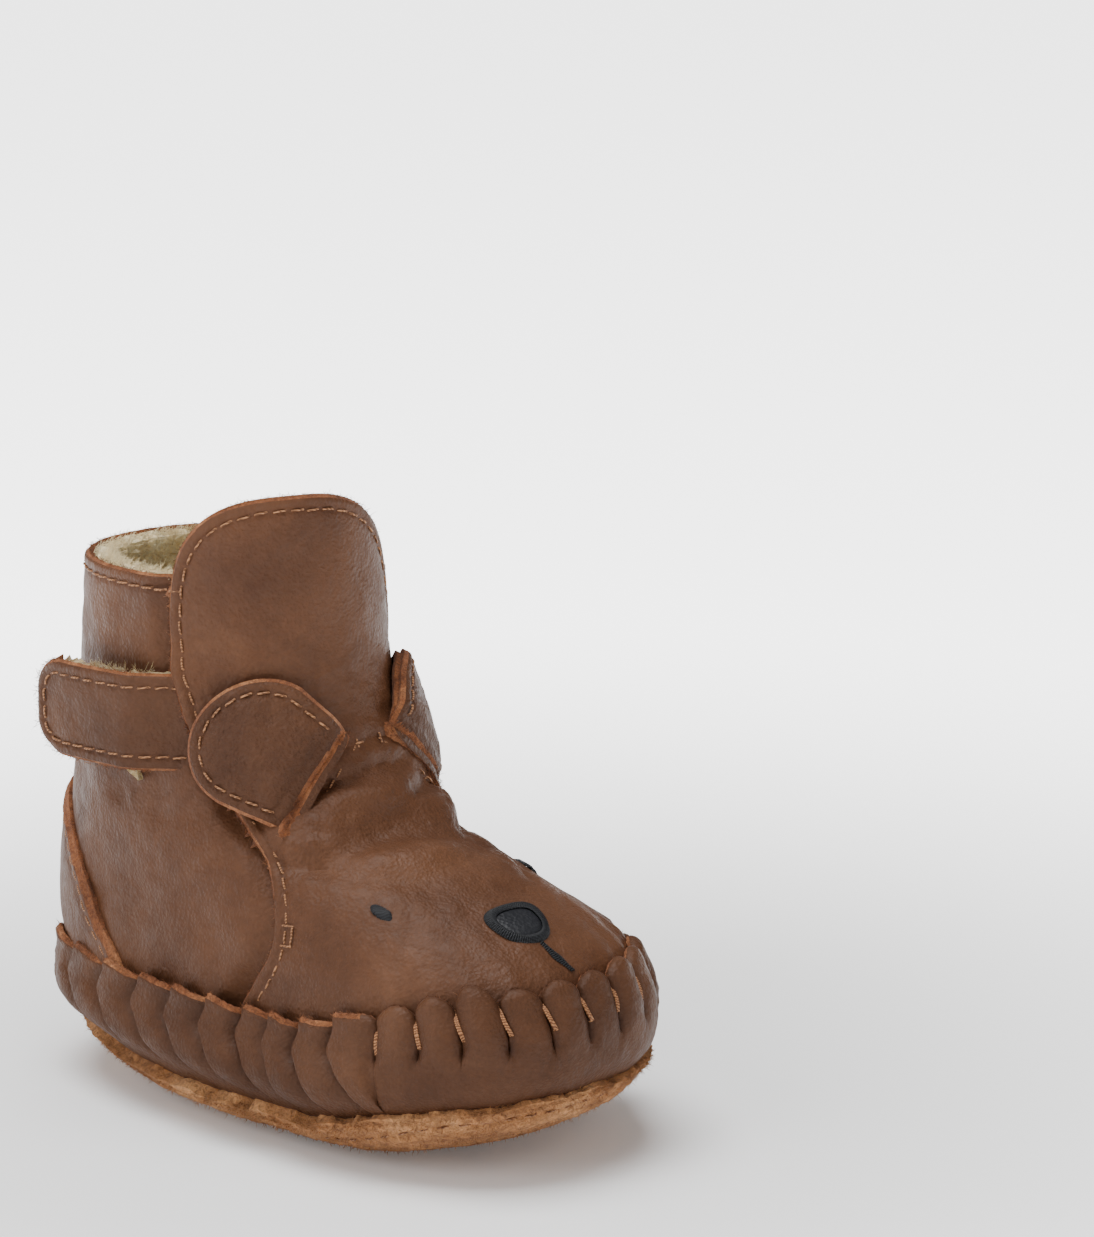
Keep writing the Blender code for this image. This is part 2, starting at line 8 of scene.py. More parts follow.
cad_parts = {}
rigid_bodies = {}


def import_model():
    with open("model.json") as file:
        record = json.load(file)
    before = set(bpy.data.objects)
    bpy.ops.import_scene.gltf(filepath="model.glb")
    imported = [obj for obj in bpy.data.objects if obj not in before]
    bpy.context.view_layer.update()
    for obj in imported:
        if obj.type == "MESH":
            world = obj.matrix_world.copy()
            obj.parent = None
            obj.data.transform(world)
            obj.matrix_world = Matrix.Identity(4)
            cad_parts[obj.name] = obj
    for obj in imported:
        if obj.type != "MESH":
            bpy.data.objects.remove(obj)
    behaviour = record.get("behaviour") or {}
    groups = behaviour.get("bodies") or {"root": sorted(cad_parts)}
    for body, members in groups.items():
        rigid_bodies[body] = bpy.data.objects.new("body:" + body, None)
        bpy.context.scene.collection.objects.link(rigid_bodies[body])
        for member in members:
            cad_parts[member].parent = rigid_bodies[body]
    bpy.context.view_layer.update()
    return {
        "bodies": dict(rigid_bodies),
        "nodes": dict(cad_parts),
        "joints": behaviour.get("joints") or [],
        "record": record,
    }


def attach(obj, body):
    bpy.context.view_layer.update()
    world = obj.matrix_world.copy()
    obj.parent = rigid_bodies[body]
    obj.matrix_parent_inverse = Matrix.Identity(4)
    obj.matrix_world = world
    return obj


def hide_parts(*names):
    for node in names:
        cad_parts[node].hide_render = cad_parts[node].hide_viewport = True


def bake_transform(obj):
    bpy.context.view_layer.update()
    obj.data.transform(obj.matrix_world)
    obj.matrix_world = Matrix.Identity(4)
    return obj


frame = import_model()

MM = 0.001
chance = np.random.default_rng(11)

# Outer face of the upper, as horizontal slices, in millimetres.
# Columns: height, front y, back y, half width, y of the widest place, front and back roundness.
SLICES = np.array([
    [4.7, -36.0, 33.0, 16.0, -2.0, 2.2, 2.0],
    [5.3, -44.0, 41.0, 21.0, -6.0, 2.3, 2.1],
    [7.0, -50.0, 47.0, 25.0, -10.0, 2.4, 2.2],
    [10.0, -54.5, 51.0, 27.8, -12.0, 2.5, 2.3],
    [16.0, -57.5, 54.0, 29.5, -14.0, 2.6, 2.3],
    [24.0, -59.0, 56.0, 29.5, -14.0, 2.6, 2.3],
    [30.0, -58.0, 56.8, 29.5, -12.0, 2.5, 2.3],
    [36.0, -54.0, 56.5, 28.5, -8.0, 2.3, 2.3],
    [42.0, -45.0, 56.0, 27.5, 0.0, 2.1, 2.2],
    [48.0, -30.5, 55.0, 26.5, 8.0, 2.0, 2.2],
    [54.0, -17.5, 53.8, 25.5, 14.0, 2.0, 2.2],
    [60.0, -11.0, 52.5, 25.0, 18.0, 2.0, 2.2],
    [70.0, -7.5, 51.0, 24.5, 20.0, 2.0, 2.2],
    [85.0, -6.0, 49.5, 24.5, 20.0, 2.0, 2.2],
    [97.0, -4.5, 48.5, 24.5, 20.0, 2.0, 2.2],
    [110.0, -3.5, 47.5, 24.0, 20.0, 2.0, 2.2],
])
TOE_SKEW = 4.0
HEEL_RISE, TOE_RISE = 3.0, 4.5
FACE = 4.0
LEATHER = 1.3
RIM_Z = 91.5
EDGE_Z = np.array([18.0, 23.4, 27.1, 32.6, 36.8, 42.9, 48.3, 52.3, 63.4, 70.7, 77.2, 83.8, 90.6, 110.0])
EDGE_NEAR = np.array([106., 104., 98., 86., 78., 64., 57., 58., 64., 69., 74., 76., 75., 74.])
EDGE_FAR = np.array([106., 104., 98., 86., 78., 64., 57., 58., 63., 60., 54., 46., 37., 36.])
BEND_LOW, BEND_HIGH = (0.0, -0.032, 0.038), (0.0, -0.032, 0.052)


# ---- the surface that every panel follows ---------------------------------------------------

def smooth(a, b, x):
    t = np.clip((np.asarray(x, float) - a) / (b - a), 0, 1)
    return t * t * (3 - 2 * t)


def monotone_slopes(x, y):
    d = np.diff(y) / np.diff(x)
    m = np.zeros_like(y)
    m[0], m[-1] = d[0], d[-1]
    for i in range(1, len(x) - 1):
        if d[i - 1] * d[i] > 0:
            m[i] = 2 * d[i - 1] * d[i] / (d[i - 1] + d[i])
    return m


def cubic(x, y, m, at):
    at = np.clip(at, x[0], x[-1])
    i = np.clip(np.searchsorted(x, at) - 1, 0, len(x) - 2)
    h = x[i + 1] - x[i]
    t = (at - x[i]) / h
    return ((1 + 2 * t) * (1 - t) ** 2 * y[i] + t * (1 - t) ** 2 * h * m[i]
            + t * t * (3 - 2 * t) * y[i + 1] + t * t * (t - 1) * h * m[i + 1])


COLUMNS = [(SLICES[:, k], monotone_slopes(SLICES[:, 0], SLICES[:, k])) for k in range(1, 7)]
NEAR_SLOPES, FAR_SLOPES = monotone_slopes(EDGE_Z, EDGE_NEAR), monotone_slopes(EDGE_Z, EDGE_FAR)
SLACK_Z = np.array([33.5, 37.5, 41.5, 45.0, 50.0, 56.0, 62.0, 76.0, 110.0])
SLACK = np.array([0.0, 4.2, 8.0, 9.0, 6.5, 3.0, 1.8, 2.5, 2.5])
SLACK_SLOPES = monotone_slopes(SLACK_Z, SLACK)
SLACK_PHI, SLACK_SPREAD = -50.0, 46.0


def slack(phi, t):
    """How far the soft upper falls in on the side away from the strap."""
    turn = (np.degrees(phi) - SLACK_PHI + 180) % 360 - 180
    return cubic(SLACK_Z, SLACK, SLACK_SLOPES, t) * np.exp(-(turn / SLACK_SPREAD) ** 2)


def outer_point(phi, t):
    phi, t = np.broadcast_arrays(np.asarray(phi, float), np.asarray(t, float))
    low = SLICES[0, 0]
    front, back, width, middle, n_front, n_back = [cubic(SLICES[:, 0], y, m, t) for y, m in COLUMNS]
    c, s = np.cos(phi), np.sin(phi)
    reach = np.where(c > 0, middle - front, back - middle)
    n = np.where(c > 0, n_front, n_back)
    r = ((np.abs(c) / reach) ** n + (np.abs(s) / width) ** n) ** (-1 / n)
    r = r * np.clip(1 + (t - low) / 20.0, 0, 1) - slack(phi, t)
    x, y = -r * s, middle - r * c
    x = x - TOE_SKEW * np.clip((-y - 5) / 52, 0, 1.1) ** 1.5
    curl = HEEL_RISE * smooth(12, 52, y) + TOE_RISE * smooth(-24, -58, y)
    z = np.maximum(t, low)
    return np.stack([x, y, z + curl * (1 - smooth(7, 24, z))], -1)


def skin_normal(phi_deg, t):
    phi = np.radians(phi_deg)
    around = outer_point(phi + 2e-3, t) - outer_point(phi - 2e-3, t)
    up = outer_point(phi, np.asarray(t, float) + 0.3) - outer_point(phi, np.asarray(t, float) - 0.3)
    n = np.cross(up, around)
    length = np.linalg.norm(n, axis=-1, keepdims=True)
    return np.where(length > 1e-9, n / np.maximum(length, 1e-12), np.array([0.0, 0.0, -1.0]))


def skin(phi_deg, t, d=0.0):
    """The point at distance d outside the upper's outer face, phi in degrees from the toe."""
    phi_deg, t, d = np.broadcast_arrays(np.asarray(phi_deg, float), np.asarray(t, float),
                                        np.asarray(d, float))
    return outer_point(np.radians(phi_deg), t) + skin_normal(phi_deg, t) * d[..., None]


def turn_of(phi_deg):
    return np.abs((np.asarray(phi_deg, float) + 180) % 360 - 180)


def seam_z(phi_deg):
    return 22.8 + 9.2 * smooth(85, 20, turn_of(phi_deg))


def sole_z(phi_deg):
    turn = turn_of(phi_deg)
    return 8.6 + 5.4 * smooth(90, 15, turn) + 0.8 * smooth(120, 180, turn)


def near_edge(z):
    """Angle from FACE to the tongue's free edge on the strap's side."""
    return cubic(EDGE_Z, EDGE_NEAR, NEAR_SLOPES, np.asarray(z, float))


def far_edge(z):
    return cubic(EDGE_Z, EDGE_FAR, FAR_SLOPES, np.asarray(z, float))


def tongue_phi(u, z, inset=0.0):
    """The angle at u from -1, the far edge, to 1, the edge on the strap's side."""
    near, far = near_edge(z) - inset, far_edge(z) - inset
    return FACE + (near - far) / 2 + u * (near + far) / 2


def tongue_top(u):
    """Height of the tongue's top edge: a round corner on the strap's side, a long slope on the other."""
    u = np.clip(u, -1, 1)
    return 88.0 + 17.2 * np.where(u > 0, (1 - np.abs(u) ** 3.1) ** (1 / 2.0), (1 - u * u) ** 0.6)


def wander(points, scale, seed, octaves=3):
    """Smooth noise at each point, about -1 to 1."""
    flat = np.asarray(points).reshape(-1, 3) / scale + seed * 17.3
    values = [noise.fractal(Vector(p), 0.9, 2.1, octaves) for p in flat]
    return np.array(values).reshape(np.asarray(points).shape[:-1])


def edge_distance(points, border):
    """Distance in millimetres from each point to a dense line of border points."""
    flat = points.reshape(-1, 3)
    best = np.full(len(flat), 1e9)
    for k in range(0, len(border), 64):
        gap = flat[:, None, :] - border[None, k:k + 64, :]
        best = np.minimum(best, np.sqrt((gap ** 2).sum(-1)).min(1))
    return best.reshape(points.shape[:-1])


def inset_line(phi, z, inset, closed=False):
    """A line of (phi, z) places moved sideways over the skin, to the left of its own direction."""
    phi, z = np.asarray(phi, float), np.asarray(z, float)
    right, left = outer_point(np.radians(phi + 0.5), z), outer_point(np.radians(phi - 0.5), z)
    above, under = outer_point(np.radians(phi), z + 0.5), outer_point(np.radians(phi), z - 0.5)
    wide, tall = np.linalg.norm(right - left, axis=-1), np.linalg.norm(above - under, axis=-1)
    along_phi, along_z = np.gradient(phi) * wide, np.gradient(z) * tall
    if closed:
        along_phi = (np.roll(phi, -1) - np.roll(phi, 1) + 180) % 360 - 180
        along_phi, along_z = along_phi * wide, (np.roll(z, -1) - np.roll(z, 1)) * tall
    length = np.hypot(along_phi, along_z)
    return phi + inset * along_z / length / wide, z - inset * along_phi / length / tall


# ---- mesh helpers ---------------------------------------------------------------------------

def only(obj):
    bpy.ops.object.select_all(action="DESELECT")
    obj.select_set(True)
    bpy.context.view_layer.objects.active = obj


def add_sheet(name, points):
    """A grid primitive laid over rows x columns of points, in millimetres."""
    rows, cols = points.shape[:2]
    bpy.ops.object.select_all(action="DESELECT")
    bpy.ops.mesh.primitive_grid_add(x_subdivisions=cols - 1, y_subdivisions=rows - 1, size=1)
    obj = bpy.context.object
    obj.name = obj.data.name = name
    assert len(obj.data.vertices) == rows * cols
    obj.data.vertices.foreach_set("co", (points.reshape(-1, 3) * MM).ravel())
    obj.data.update()
    return obj


def set_values(obj, name, values):
    attribute = obj.data.attributes.new(name, "FLOAT", "POINT")
    attribute.data.foreach_set("value", np.asarray(values, np.float32).ravel())


def finish_modifiers(obj):
    only(obj)
    for modifier in list(obj.modifiers):
        bpy.ops.object.modifier_apply(modifier=modifier.name)


def thicken(obj, thickness, round_edge=0.0):
    """Gives a sheet its thickness inward. Material 1 is the inner face and 2 the cut rim."""
    wall = obj.modifiers.new("wall", "SOLIDIFY")
    wall.thickness = thickness * MM
    wall.offset = -1
    wall.material_offset = 1
    wall.material_offset_rim = 2
    if round_edge:
        soft = obj.modifiers.new("soft", "BEVEL")
        soft.width = round_edge * MM
        soft.segments = 2
        soft.limit_method = "ANGLE"
        soft.angle_limit = math.radians(50)
    finish_modifiers(obj)


def close_seam(obj):
    """Joins a ring's first and last columns."""
    only(obj)
    bpy.ops.object.mode_set(mode="EDIT")
    bpy.ops.mesh.select_all(action="SELECT")
    bpy.ops.mesh.remove_doubles(threshold=2e-6)
    bpy.ops.mesh.normals_make_consistent(inside=False)
    bpy.ops.object.mode_set(mode="OBJECT")


def shade(obj, angle=45):
    only(obj)
    bpy.ops.object.shade_smooth_by_angle(angle=math.radians(angle))


def dress(obj, *materials):
    obj.data.materials.clear()
    for made in materials:
        obj.data.materials.append(made)


def face_way(obj, way):
    """Turns an open sheet over if it mostly faces away from the given way."""
    facing = sum((p.normal * p.area for p in obj.data.polygons), Vector())
    if facing.dot(Vector(way)) < 0:
        obj.data.flip_normals()


def pad_inward(obj, thickness, angle=80):
    """Gives pile or a small patch its thickness inward, all in one material."""
    wall = obj.modifiers.new("wall", "SOLIDIFY")
    wall.thickness = thickness * MM
    wall.offset = -1
    finish_modifiers(obj)
    shade(obj, angle)


def place(obj, body=None, bend=None, stands_for=(), slot=None):
    if bend:
        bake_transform(obj)
    else:
        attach(obj, body)
    if stands_for:
        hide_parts(*stands_for)


BEND = ("upper", "tongue", BEND_LOW, BEND_HIGH)


# ---- threads --------------------------------------------------------------------------------

def run_along(path):
    """Distance from the path's start at each of its points."""
    return np.concatenate([[0], np.cumsum(np.linalg.norm(np.diff(path[:, :3], axis=0), axis=1))])


def resample(path, step):
    path = np.asarray(path, float)
    gone = run_along(path)
    count = max(2, int(round(gone[-1] / step)) + 1)
    at = np.linspace(0, gone[-1], count)
    return np.column_stack([np.interp(at, gone, path[:, k]) for k in range(path.shape[1])])


def new_curve(name, radius, sides):
    curve = bpy.data.curves.new(name, "CURVE")
    curve.dimensions = "3D"
    curve.bevel_depth = radius * MM
    curve.bevel_resolution = sides
    return curve


def mesh_of(curve, look):
    """The curve's round threads as one smooth mesh."""
    obj = bpy.data.objects.new(curve.name, curve)
    bpy.context.scene.collection.objects.link(obj)
    only(obj)
    bpy.ops.object.convert(target="MESH")
    obj = bpy.context.object
    bpy.ops.object.shade_smooth()
    dress(obj, look)
    return obj


def strands(name, lines, radius, look, sides=1):
    """One mesh of round threads, each along its own short line of points."""
    curve = new_curve(name, radius, sides)
    curve.use_fill_caps = True
    for line in lines:
        spline = curve.splines.new("POLY")
        spline.points.add(len(line) - 1)
        spline.points.foreach_set("co", np.column_stack([np.asarray(line) * MM, np.ones(len(line))]).ravel())
    return mesh_of(curve, look)


def stitch_lines(path, normals, pitch=3.0, length=2.25, rise=0.16, dive=0.45):
    """The line of each stitch along a path: out of one hole, over the leather, into the next."""
    both = resample(np.column_stack([path, normals]), 0.1)
    gone = run_along(both)
    count = int((gone[-1] - 0.4) / pitch)
    start = (gone[-1] - count * pitch + pitch - length) / 2
    lines = []
    for k in range(count):
        at = start + k * pitch + np.array([0.0, 0.1, 0.32, 0.68, 0.9, 1.0]) * length
        at = at + chance.normal(0, 0.06)
        p = np.column_stack([np.interp(at, gone, both[:, c]) for c in range(3)])
        n = np.column_stack([np.interp(at, gone, both[:, c]) for c in range(3, 6)])
        ahead = p[-1] - p[0]
        side = np.cross(n[0], ahead)
        side /= max(np.linalg.norm(side), 1e-9)
        lift = np.array([-dive, rise * 0.6, rise, rise, rise * 0.6, -dive])
        lean = np.linspace(-0.12, 0.12, 6) + chance.normal(0, 0.03)
        lines.append(p + n * lift[:, None] + side * lean[:, None])
    return lines


def fuzz(name, roots, ways, length, radius, look):
    """Loose fibres: each a thin bent spike that leaves its root about the given way."""
    curve = new_curve(name, radius, 0)
    for root, way in zip(roots, ways):
        reach = length * chance.uniform(0.45, 1.25)
        first = way + chance.normal(0, 0.45, 3)
        second = first + chance.normal(0, 0.6, 3)
        points = [root - way * 0.15, root + first * reach * 0.5, root + (first * 0.5 + second * 0.5) * reach]
        points = [np.maximum(point, (-1e3, -1e3, 0.05)) for point in points]
        spline = curve.splines.new("POLY")
        spline.points.add(2)
        for point, at, size in zip(spline.points, points, (1.0, 0.8, 0.25)):
            point.co = (*(at * MM), 1)
            point.radius = size
    return mesh_of(curve, look)


def edge_fuzz(name, path, normals, per_mm, where, length=0.55, lift=LEATHER * 0.5, look=None):
    """Short fibres that stand off a raw cut edge, spread along its path."""
    path = np.asarray(path, float)
    normals = np.broadcast_to(normals, path.shape)
    both = resample(np.column_stack([path, normals]), 0.2)
    count = int(len(both) * 0.2 * per_mm)
    picked = both[chance.integers(0, len(both), count)]
    raised = lift + chance.uniform(-0.5, 0.3, count)
    roots = picked[:, :3] + picked[:, 3:] * raised[:, None] + chance.normal(0, 0.12, (count, 3))
    ways = picked[:, 3:] * 0.45 + chance.normal(0, 0.55, (count, 3))
    obj = fuzz(name, roots, ways, length, 0.035, look or RAW_EDGE)
    place(obj, **where)


# ---- materials ------------------------------------------------------------------------------

def new_material(name, rgb, roughness):
    made = bpy.data.materials.new(name)
    made.use_nodes = True
    nodes, links = made.node_tree.nodes, made.node_tree.links
    shader = nodes["Principled BSDF"]
    shader.inputs["Base Color"].default_value = (*rgb, 1)
    shader.inputs["Roughness"].default_value = roughness
    return made, nodes, links, shader


def noise_node(nodes, links, coords, scale, detail=4.0, roughness=0.55, distortion=0.0):
    node = nodes.new("ShaderNodeTexNoise")
    node.inputs["Scale"].default_value = scale
    node.inputs["Detail"].default_value = detail
    node.inputs["Roughness"].default_value = roughness
    node.inputs["Distortion"].default_value = distortion
    links.new(coords, node.inputs["Vector"])
    return node


def ramp_node(nodes, links, value, stops):
    node = nodes.new("ShaderNodeValToRGB")
    ramp = node.color_ramp
    while len(ramp.elements) < len(stops):
        ramp.elements.new(0.5)
    for element, (where, colour) in zip(ramp.elements, stops):
        element.position = where
        element.color = (*colour, 1)
    links.new(value, node.inputs["Fac"])
    return node


def mix_node(nodes, links, kind, factor, a, b):
    node = nodes.new("ShaderNodeMix")
    node.data_type = "RGBA"
    node.blend_type = kind
    if isinstance(factor, (int, float)):
        node.inputs[0].default_value = factor
    else:
        links.new(factor, node.inputs[0])
    for socket, value in ((node.inputs[6], a), (node.inputs[7], b)):
        if isinstance(value, tuple):
            socket.default_value = (*value, 1)
        else:
            links.new(value, socket)
    return node.outputs[2]


def bump_node(nodes, links, height, strength, distance, below=None):
    node = nodes.new("ShaderNodeBump")
    node.inputs["Strength"].default_value = strength
    node.inputs["Distance"].default_value = distance
    links.new(height, node.inputs["Height"])
    if below is not None:
        links.new(below, node.inputs["Normal"])
    return node.outputs["Normal"]


def attribute_value(nodes, name):
    node = nodes.new("ShaderNodeAttribute")
    node.attribute_name = name
    return node.outputs["Fac"]


def leather(name, dark, base, light, shine=0.50, grain=1.0, crest=False):
    """Soft full-grain leather: pebbled grain, fine creases. With crest set, a low crest value darkens the
    colour: partly the leather's pull-up, lighter where it is stretched, and partly painted shade in the
    valleys and holes.
    """
    made, nodes, links, shader = new_material(name, base, shine)
    coords = nodes.new("ShaderNodeTexCoord").outputs["Object"]
    cloud = noise_node(nodes, links, coords, 42, 5, 0.6, 0.4)
    tone = ramp_node(nodes, links, cloud.outputs["Fac"], [(0.30, dark), (0.52, base), (0.78, light)])
    colour = tone.outputs["Color"]
    speck = noise_node(nodes, links, coords, 900, 3, 0.7)
    fine = ramp_node(nodes, links, speck.outputs["Fac"], [(0.35, (0.80,) * 3), (0.70, (1.08, 1.06, 1.04))])
    colour = mix_node(nodes, links, "MULTIPLY", 0.55, colour, fine.outputs["Color"])
    if crest:
        # painted shade: where the crest value is low the colour is multiplied down, standing in for shade in
        # valleys and holes, and partly for pull-up leather that is lighter on stretched crests
        pullup_and_painted_shade = attribute_value(nodes, "crest")
        shaded = mix_node(nodes, links, "MULTIPLY", 1.0, colour, (0.42, 0.38, 0.36))
        colour = mix_node(nodes, links, "MIX", pullup_and_painted_shade, shaded, colour)
    links.new(colour, shader.inputs["Base Color"])
    cells = nodes.new("ShaderNodeTexVoronoi")
    cells.inputs["Scale"].default_value = 1500
    cells.inputs["Randomness"].default_value = 1.0
    warp = noise_node(nodes, links, coords, 260, 2)
    bent = nodes.new("ShaderNodeVectorMath")
    bent.operation = "MULTIPLY_ADD"
    links.new(warp.outputs["Color"], bent.inputs[0])
    bent.inputs[1].default_value = (0.0012, 0.0012, 0.0012)
    links.new(coords, bent.inputs[2])
    links.new(bent.outputs["Vector"], cells.inputs["Vector"])
    pores = noise_node(nodes, links, coords, 2600, 2, 0.6)
    creases = noise_node(nodes, links, coords, 210, 6, 0.62, 1.4)
    normal = bump_node(nodes, links, creases.outputs["Fac"], 0.36 * grain, 0.0010)
    normal = bump_node(nodes, links, cells.outputs["Distance"], 0.45 * grain, 0.00026, normal)
    normal = bump_node(nodes, links, pores.outputs["Fac"], 0.35 * grain, 0.00012, normal)
    links.new(normal, shader.inputs["Normal"])
    polish = ramp_node(nodes, links, creases.outputs["Fac"],
                       [(0.35, (shine - 0.06,) * 3), (0.70, (shine + 0.12,) * 3)])
    links.new(polish.outputs["Color"], shader.inputs["Roughness"])
    shader.inputs["Specular IOR Level"].default_value = 0.16
    return made


def napped(name, dark, base, light, coarse, fine, stops, shades, share, bumps, specular, sheen):
    """Napped cloth or hide. coarse, fine: the noise of its patches and of its fibres; stops: where
    the patches turn dark, base and light; shades: what the fibres multiply the colour by."""
    made, nodes, links, shader = new_material(name, base, 0.95)
    coords = nodes.new("ShaderNodeTexCoord").outputs["Object"]
    patches = noise_node(nodes, links, coords, *coarse)
    fibres = noise_node(nodes, links, coords, *fine)
    tone = ramp_node(nodes, links, patches.outputs["Fac"], list(zip(stops, (dark, base, light))))
    nap = ramp_node(nodes, links, fibres.outputs["Fac"], shades)
    colour = mix_node(nodes, links, "MULTIPLY", share, tone.outputs["Color"], nap.outputs["Color"])
    links.new(colour, shader.inputs["Base Color"])
    normal = None
    for noise, (strength, distance) in zip((patches, fibres), bumps):
        normal = bump_node(nodes, links, noise.outputs["Fac"], strength, distance, normal)
    links.new(normal, shader.inputs["Normal"])
    shader.inputs["Specular IOR Level"].default_value = specular
    shader.inputs["Sheen Weight"].default_value, shader.inputs["Sheen Roughness"].default_value = sheen
    return made


def suede(name, dark, base, light, size=1.0, sheen=0.25):
    """Rough napped leather, with fibres of several sizes."""
    return napped(name, dark, base, light, (90 / size, 4, 0.6, 0.5), (1100 / size, 4, 0.75, 1.0),
                  (0.28, 0.50, 0.75), [(0.34, (0.36, 0.32, 0.29)), (0.66, (1.38, 1.35, 1.30))], 0.85,
                  ((0.35, 0.0010), (1.0, 0.00050 * size)), 0.15, (sheen, 0.6))


def pile_cloth(name, dark, base, light):
    """Short curly pile, dark at its roots and pale at its tips."""
    return napped(name, dark, base, light, (420, 4, 0.65, 1.2), (1900, 3, 0.7, 0.6),
                  (0.30, 0.50, 0.68), [(0.30, (0.62, 0.60, 0.55)), (0.70, (1.15, 1.14, 1.10))], 0.8,
                  ((0.8, 0.0014), (0.7, 0.0003)), 0.1, (0.4, 0.5))


def thread_cloth(name, dark, base, light, gloss=0.55):
    """Twisted sewing thread, with fine slanting strands."""
    made, nodes, links, shader = new_material(name, base, gloss)
    coords = nodes.new("ShaderNodeTexCoord").outputs["Object"]
    twist = nodes.new("ShaderNodeTexWave")
    twist.inputs["Scale"].default_value = 900
    twist.inputs["Distortion"].default_value = 6.0
    twist.bands_direction = "DIAGONAL"
    links.new(coords, twist.inputs["Vector"])
    tone = ramp_node(nodes, links, twist.outputs["Fac"], [(0.10, dark), (0.50, base), (0.90, light)])
    links.new(tone.outputs["Color"], shader.inputs["Base Color"])
    links.new(bump_node(nodes, links, twist.outputs["Fac"], 0.35, 0.00006), shader.inputs["Normal"])
    shader.inputs["Specular IOR Level"].default_value = 0.25
    return made


BROWN = ((0.056, 0.0215, 0.0095), (0.083, 0.0335, 0.0150), (0.117, 0.050, 0.0235))
THREAD = 0.19


def darker(tones, share):
    return [tuple(share * value for value in tone) for tone in tones]


BROWN_LEATHER = leather("brown_leather", *BROWN)
BAND_LEATHER = leather("band_leather", *darker(BROWN, 0.88), crest=True)
EAR_LEATHER = leather("ear_front_leather", *darker(BROWN, 0.84), grain=1.7)
STRAP_LEATHER = leather("strap_front_leather", *darker(BROWN, 0.86))
RAW_EDGE = suede("raw_cut_edge", (0.10, 0.034, 0.013), (0.20, 0.072, 0.028), (0.38, 0.170, 0.076), 0.7, 0.05)
FLESH = suede("flesh_side", (0.12, 0.045, 0.018), (0.21, 0.085, 0.036), (0.30, 0.135, 0.062), 0.8, 0.05)
SOLE_SUEDE = suede("outsole_suede",
                   (0.26, 0.112, 0.042), (0.42, 0.195, 0.078), (0.62, 0.335, 0.155), 1.25, 0.05)
FLEECE = pile_cloth("cream_fleece", (0.72, 0.56, 0.30), (0.93, 0.78, 0.47), (0.98, 0.90, 0.64))
KHAKI = pile_cloth("khaki_pile", (0.20, 0.13, 0.050), (0.40, 0.29, 0.13), (0.60, 0.47, 0.25))
TAN_THREAD = thread_cloth("tan_thread", (0.10, 0.041, 0.017), (0.20, 0.088, 0.038), (0.33, 0.162, 0.078))
CORD = thread_cloth("tan_cord", (0.11, 0.043, 0.017), (0.20, 0.084, 0.034), (0.36, 0.170, 0.078))
DARK_THREAD = thread_cloth("dark_thread",
                           (0.003, 0.0032, 0.004), (0.006, 0.0065, 0.008), (0.013, 0.014, 0.017), 0.6)
NOSE_LEATHER = leather("nose_leather",
                       (0.008, 0.0085, 0.010), (0.013, 0.0135, 0.016), (0.024, 0.0245, 0.028), 0.42, 0.9)


def sew(name, path, normals, spot, stands_for, pitch=3.0, length=2.25, radius=THREAD):
    """A row of tan topstitches along a path."""
    obj = strands(name, stitch_lines(path, normals, pitch, length), radius, TAN_THREAD)
    place(obj, **spot, stands_for=stands_for, slot="thread")


# ---- vamp and tongue --------------------------------------------------------------------------

def edge_steps(length, coarse=0.75):
    """Distances from an edge: close together near the stitching, then even."""
    near = [0.0, 0.2, 0.42, 0.65, 0.95, 1.3, 1.65, 2.0, 2.35, 2.7, 3.1, 3.6]
    count = max(2, int((length - 3.6) / coarse))
    return np.concatenate([near, np.linspace(3.6, length, count + 1)[1:]])


RAW_WIDTH = 0.65


def stitched_edge(distance, stitch_at=2.4, raw=RAW_WIDTH):
    """Height of the leather near its edge: a slanted cut, a soft roll, and a groove under the stitching."""
    groove = -0.26 * np.exp(-((distance - stitch_at) / 0.5) ** 2)
    roll = 0.14 * np.exp(-((distance - 1.35) / 0.6) ** 2)
    cut = -0.75 * (1 - np.clip(distance / raw, 0, 1))
    return groove + roll + cut


def mark_raw(obj, away, raw=RAW_WIDTH):
    """Gives the slanted cut its raw suede. away: each point's distance from the edge."""
    middle = (away[1:, 1:] + away[:-1, 1:] + away[1:, :-1] + away[:-1, :-1]) / 4
    for k in np.flatnonzero((middle < raw * 0.8).ravel()):
        obj.data.polygons[int(k)].material_index = 2


def instep_creases(phi, z, points):
    """Folds across the instep, where the tongue bends off the vamp, and fine wrinkles beside them."""
    turn = phi - FACE
    folds = np.zeros_like(z)
    for height, bow, depth, width, reach, ahead in (
            (50.5, 0.0016, 1.25, 1.5, 60, 4), (46.8, 0.0010, 0.55, 1.1, 42, 8),
            (54.6, 0.0020, 0.75, 1.2, 50, -6), (59.0, 0.0028, 0.45, 1.1, 40, 6),
            (43.8, 0.0006, 0.28, 1.1, 32, -4), (52.6, 0.0030, 0.5, 0.8, 40, 14),
            (63.5, 0.0030, 0.25, 1.0, 30, -8)):
        middle = height - bow * (turn - ahead) ** 2 + 0.8 * np.sin(turn / 9.0 + height)
        gap = z - middle
        fade = 1 - smooth(reach * 0.45, reach, np.abs(turn - ahead))
        roll = 0.6 * np.exp(-((gap - 2.2 * width) / (1.5 * width)) ** 2)
        folds += 1.6 * fade * depth * (-np.exp(-(gap / width) ** 2) + roll)
    zone = smooth(34, 46, z) * (1 - smooth(66, 84, z))
    ridged = 1 - 2 * np.abs(wander(points * np.array([0.4, 0.8, 1.3]), 2.6, 3, 3))
    swirl = wander(points * np.array([0.6, 1.0, 1.0]), 5.0, 4)
    return folds + zone * (0.30 * ridged + 0.22 * swirl)


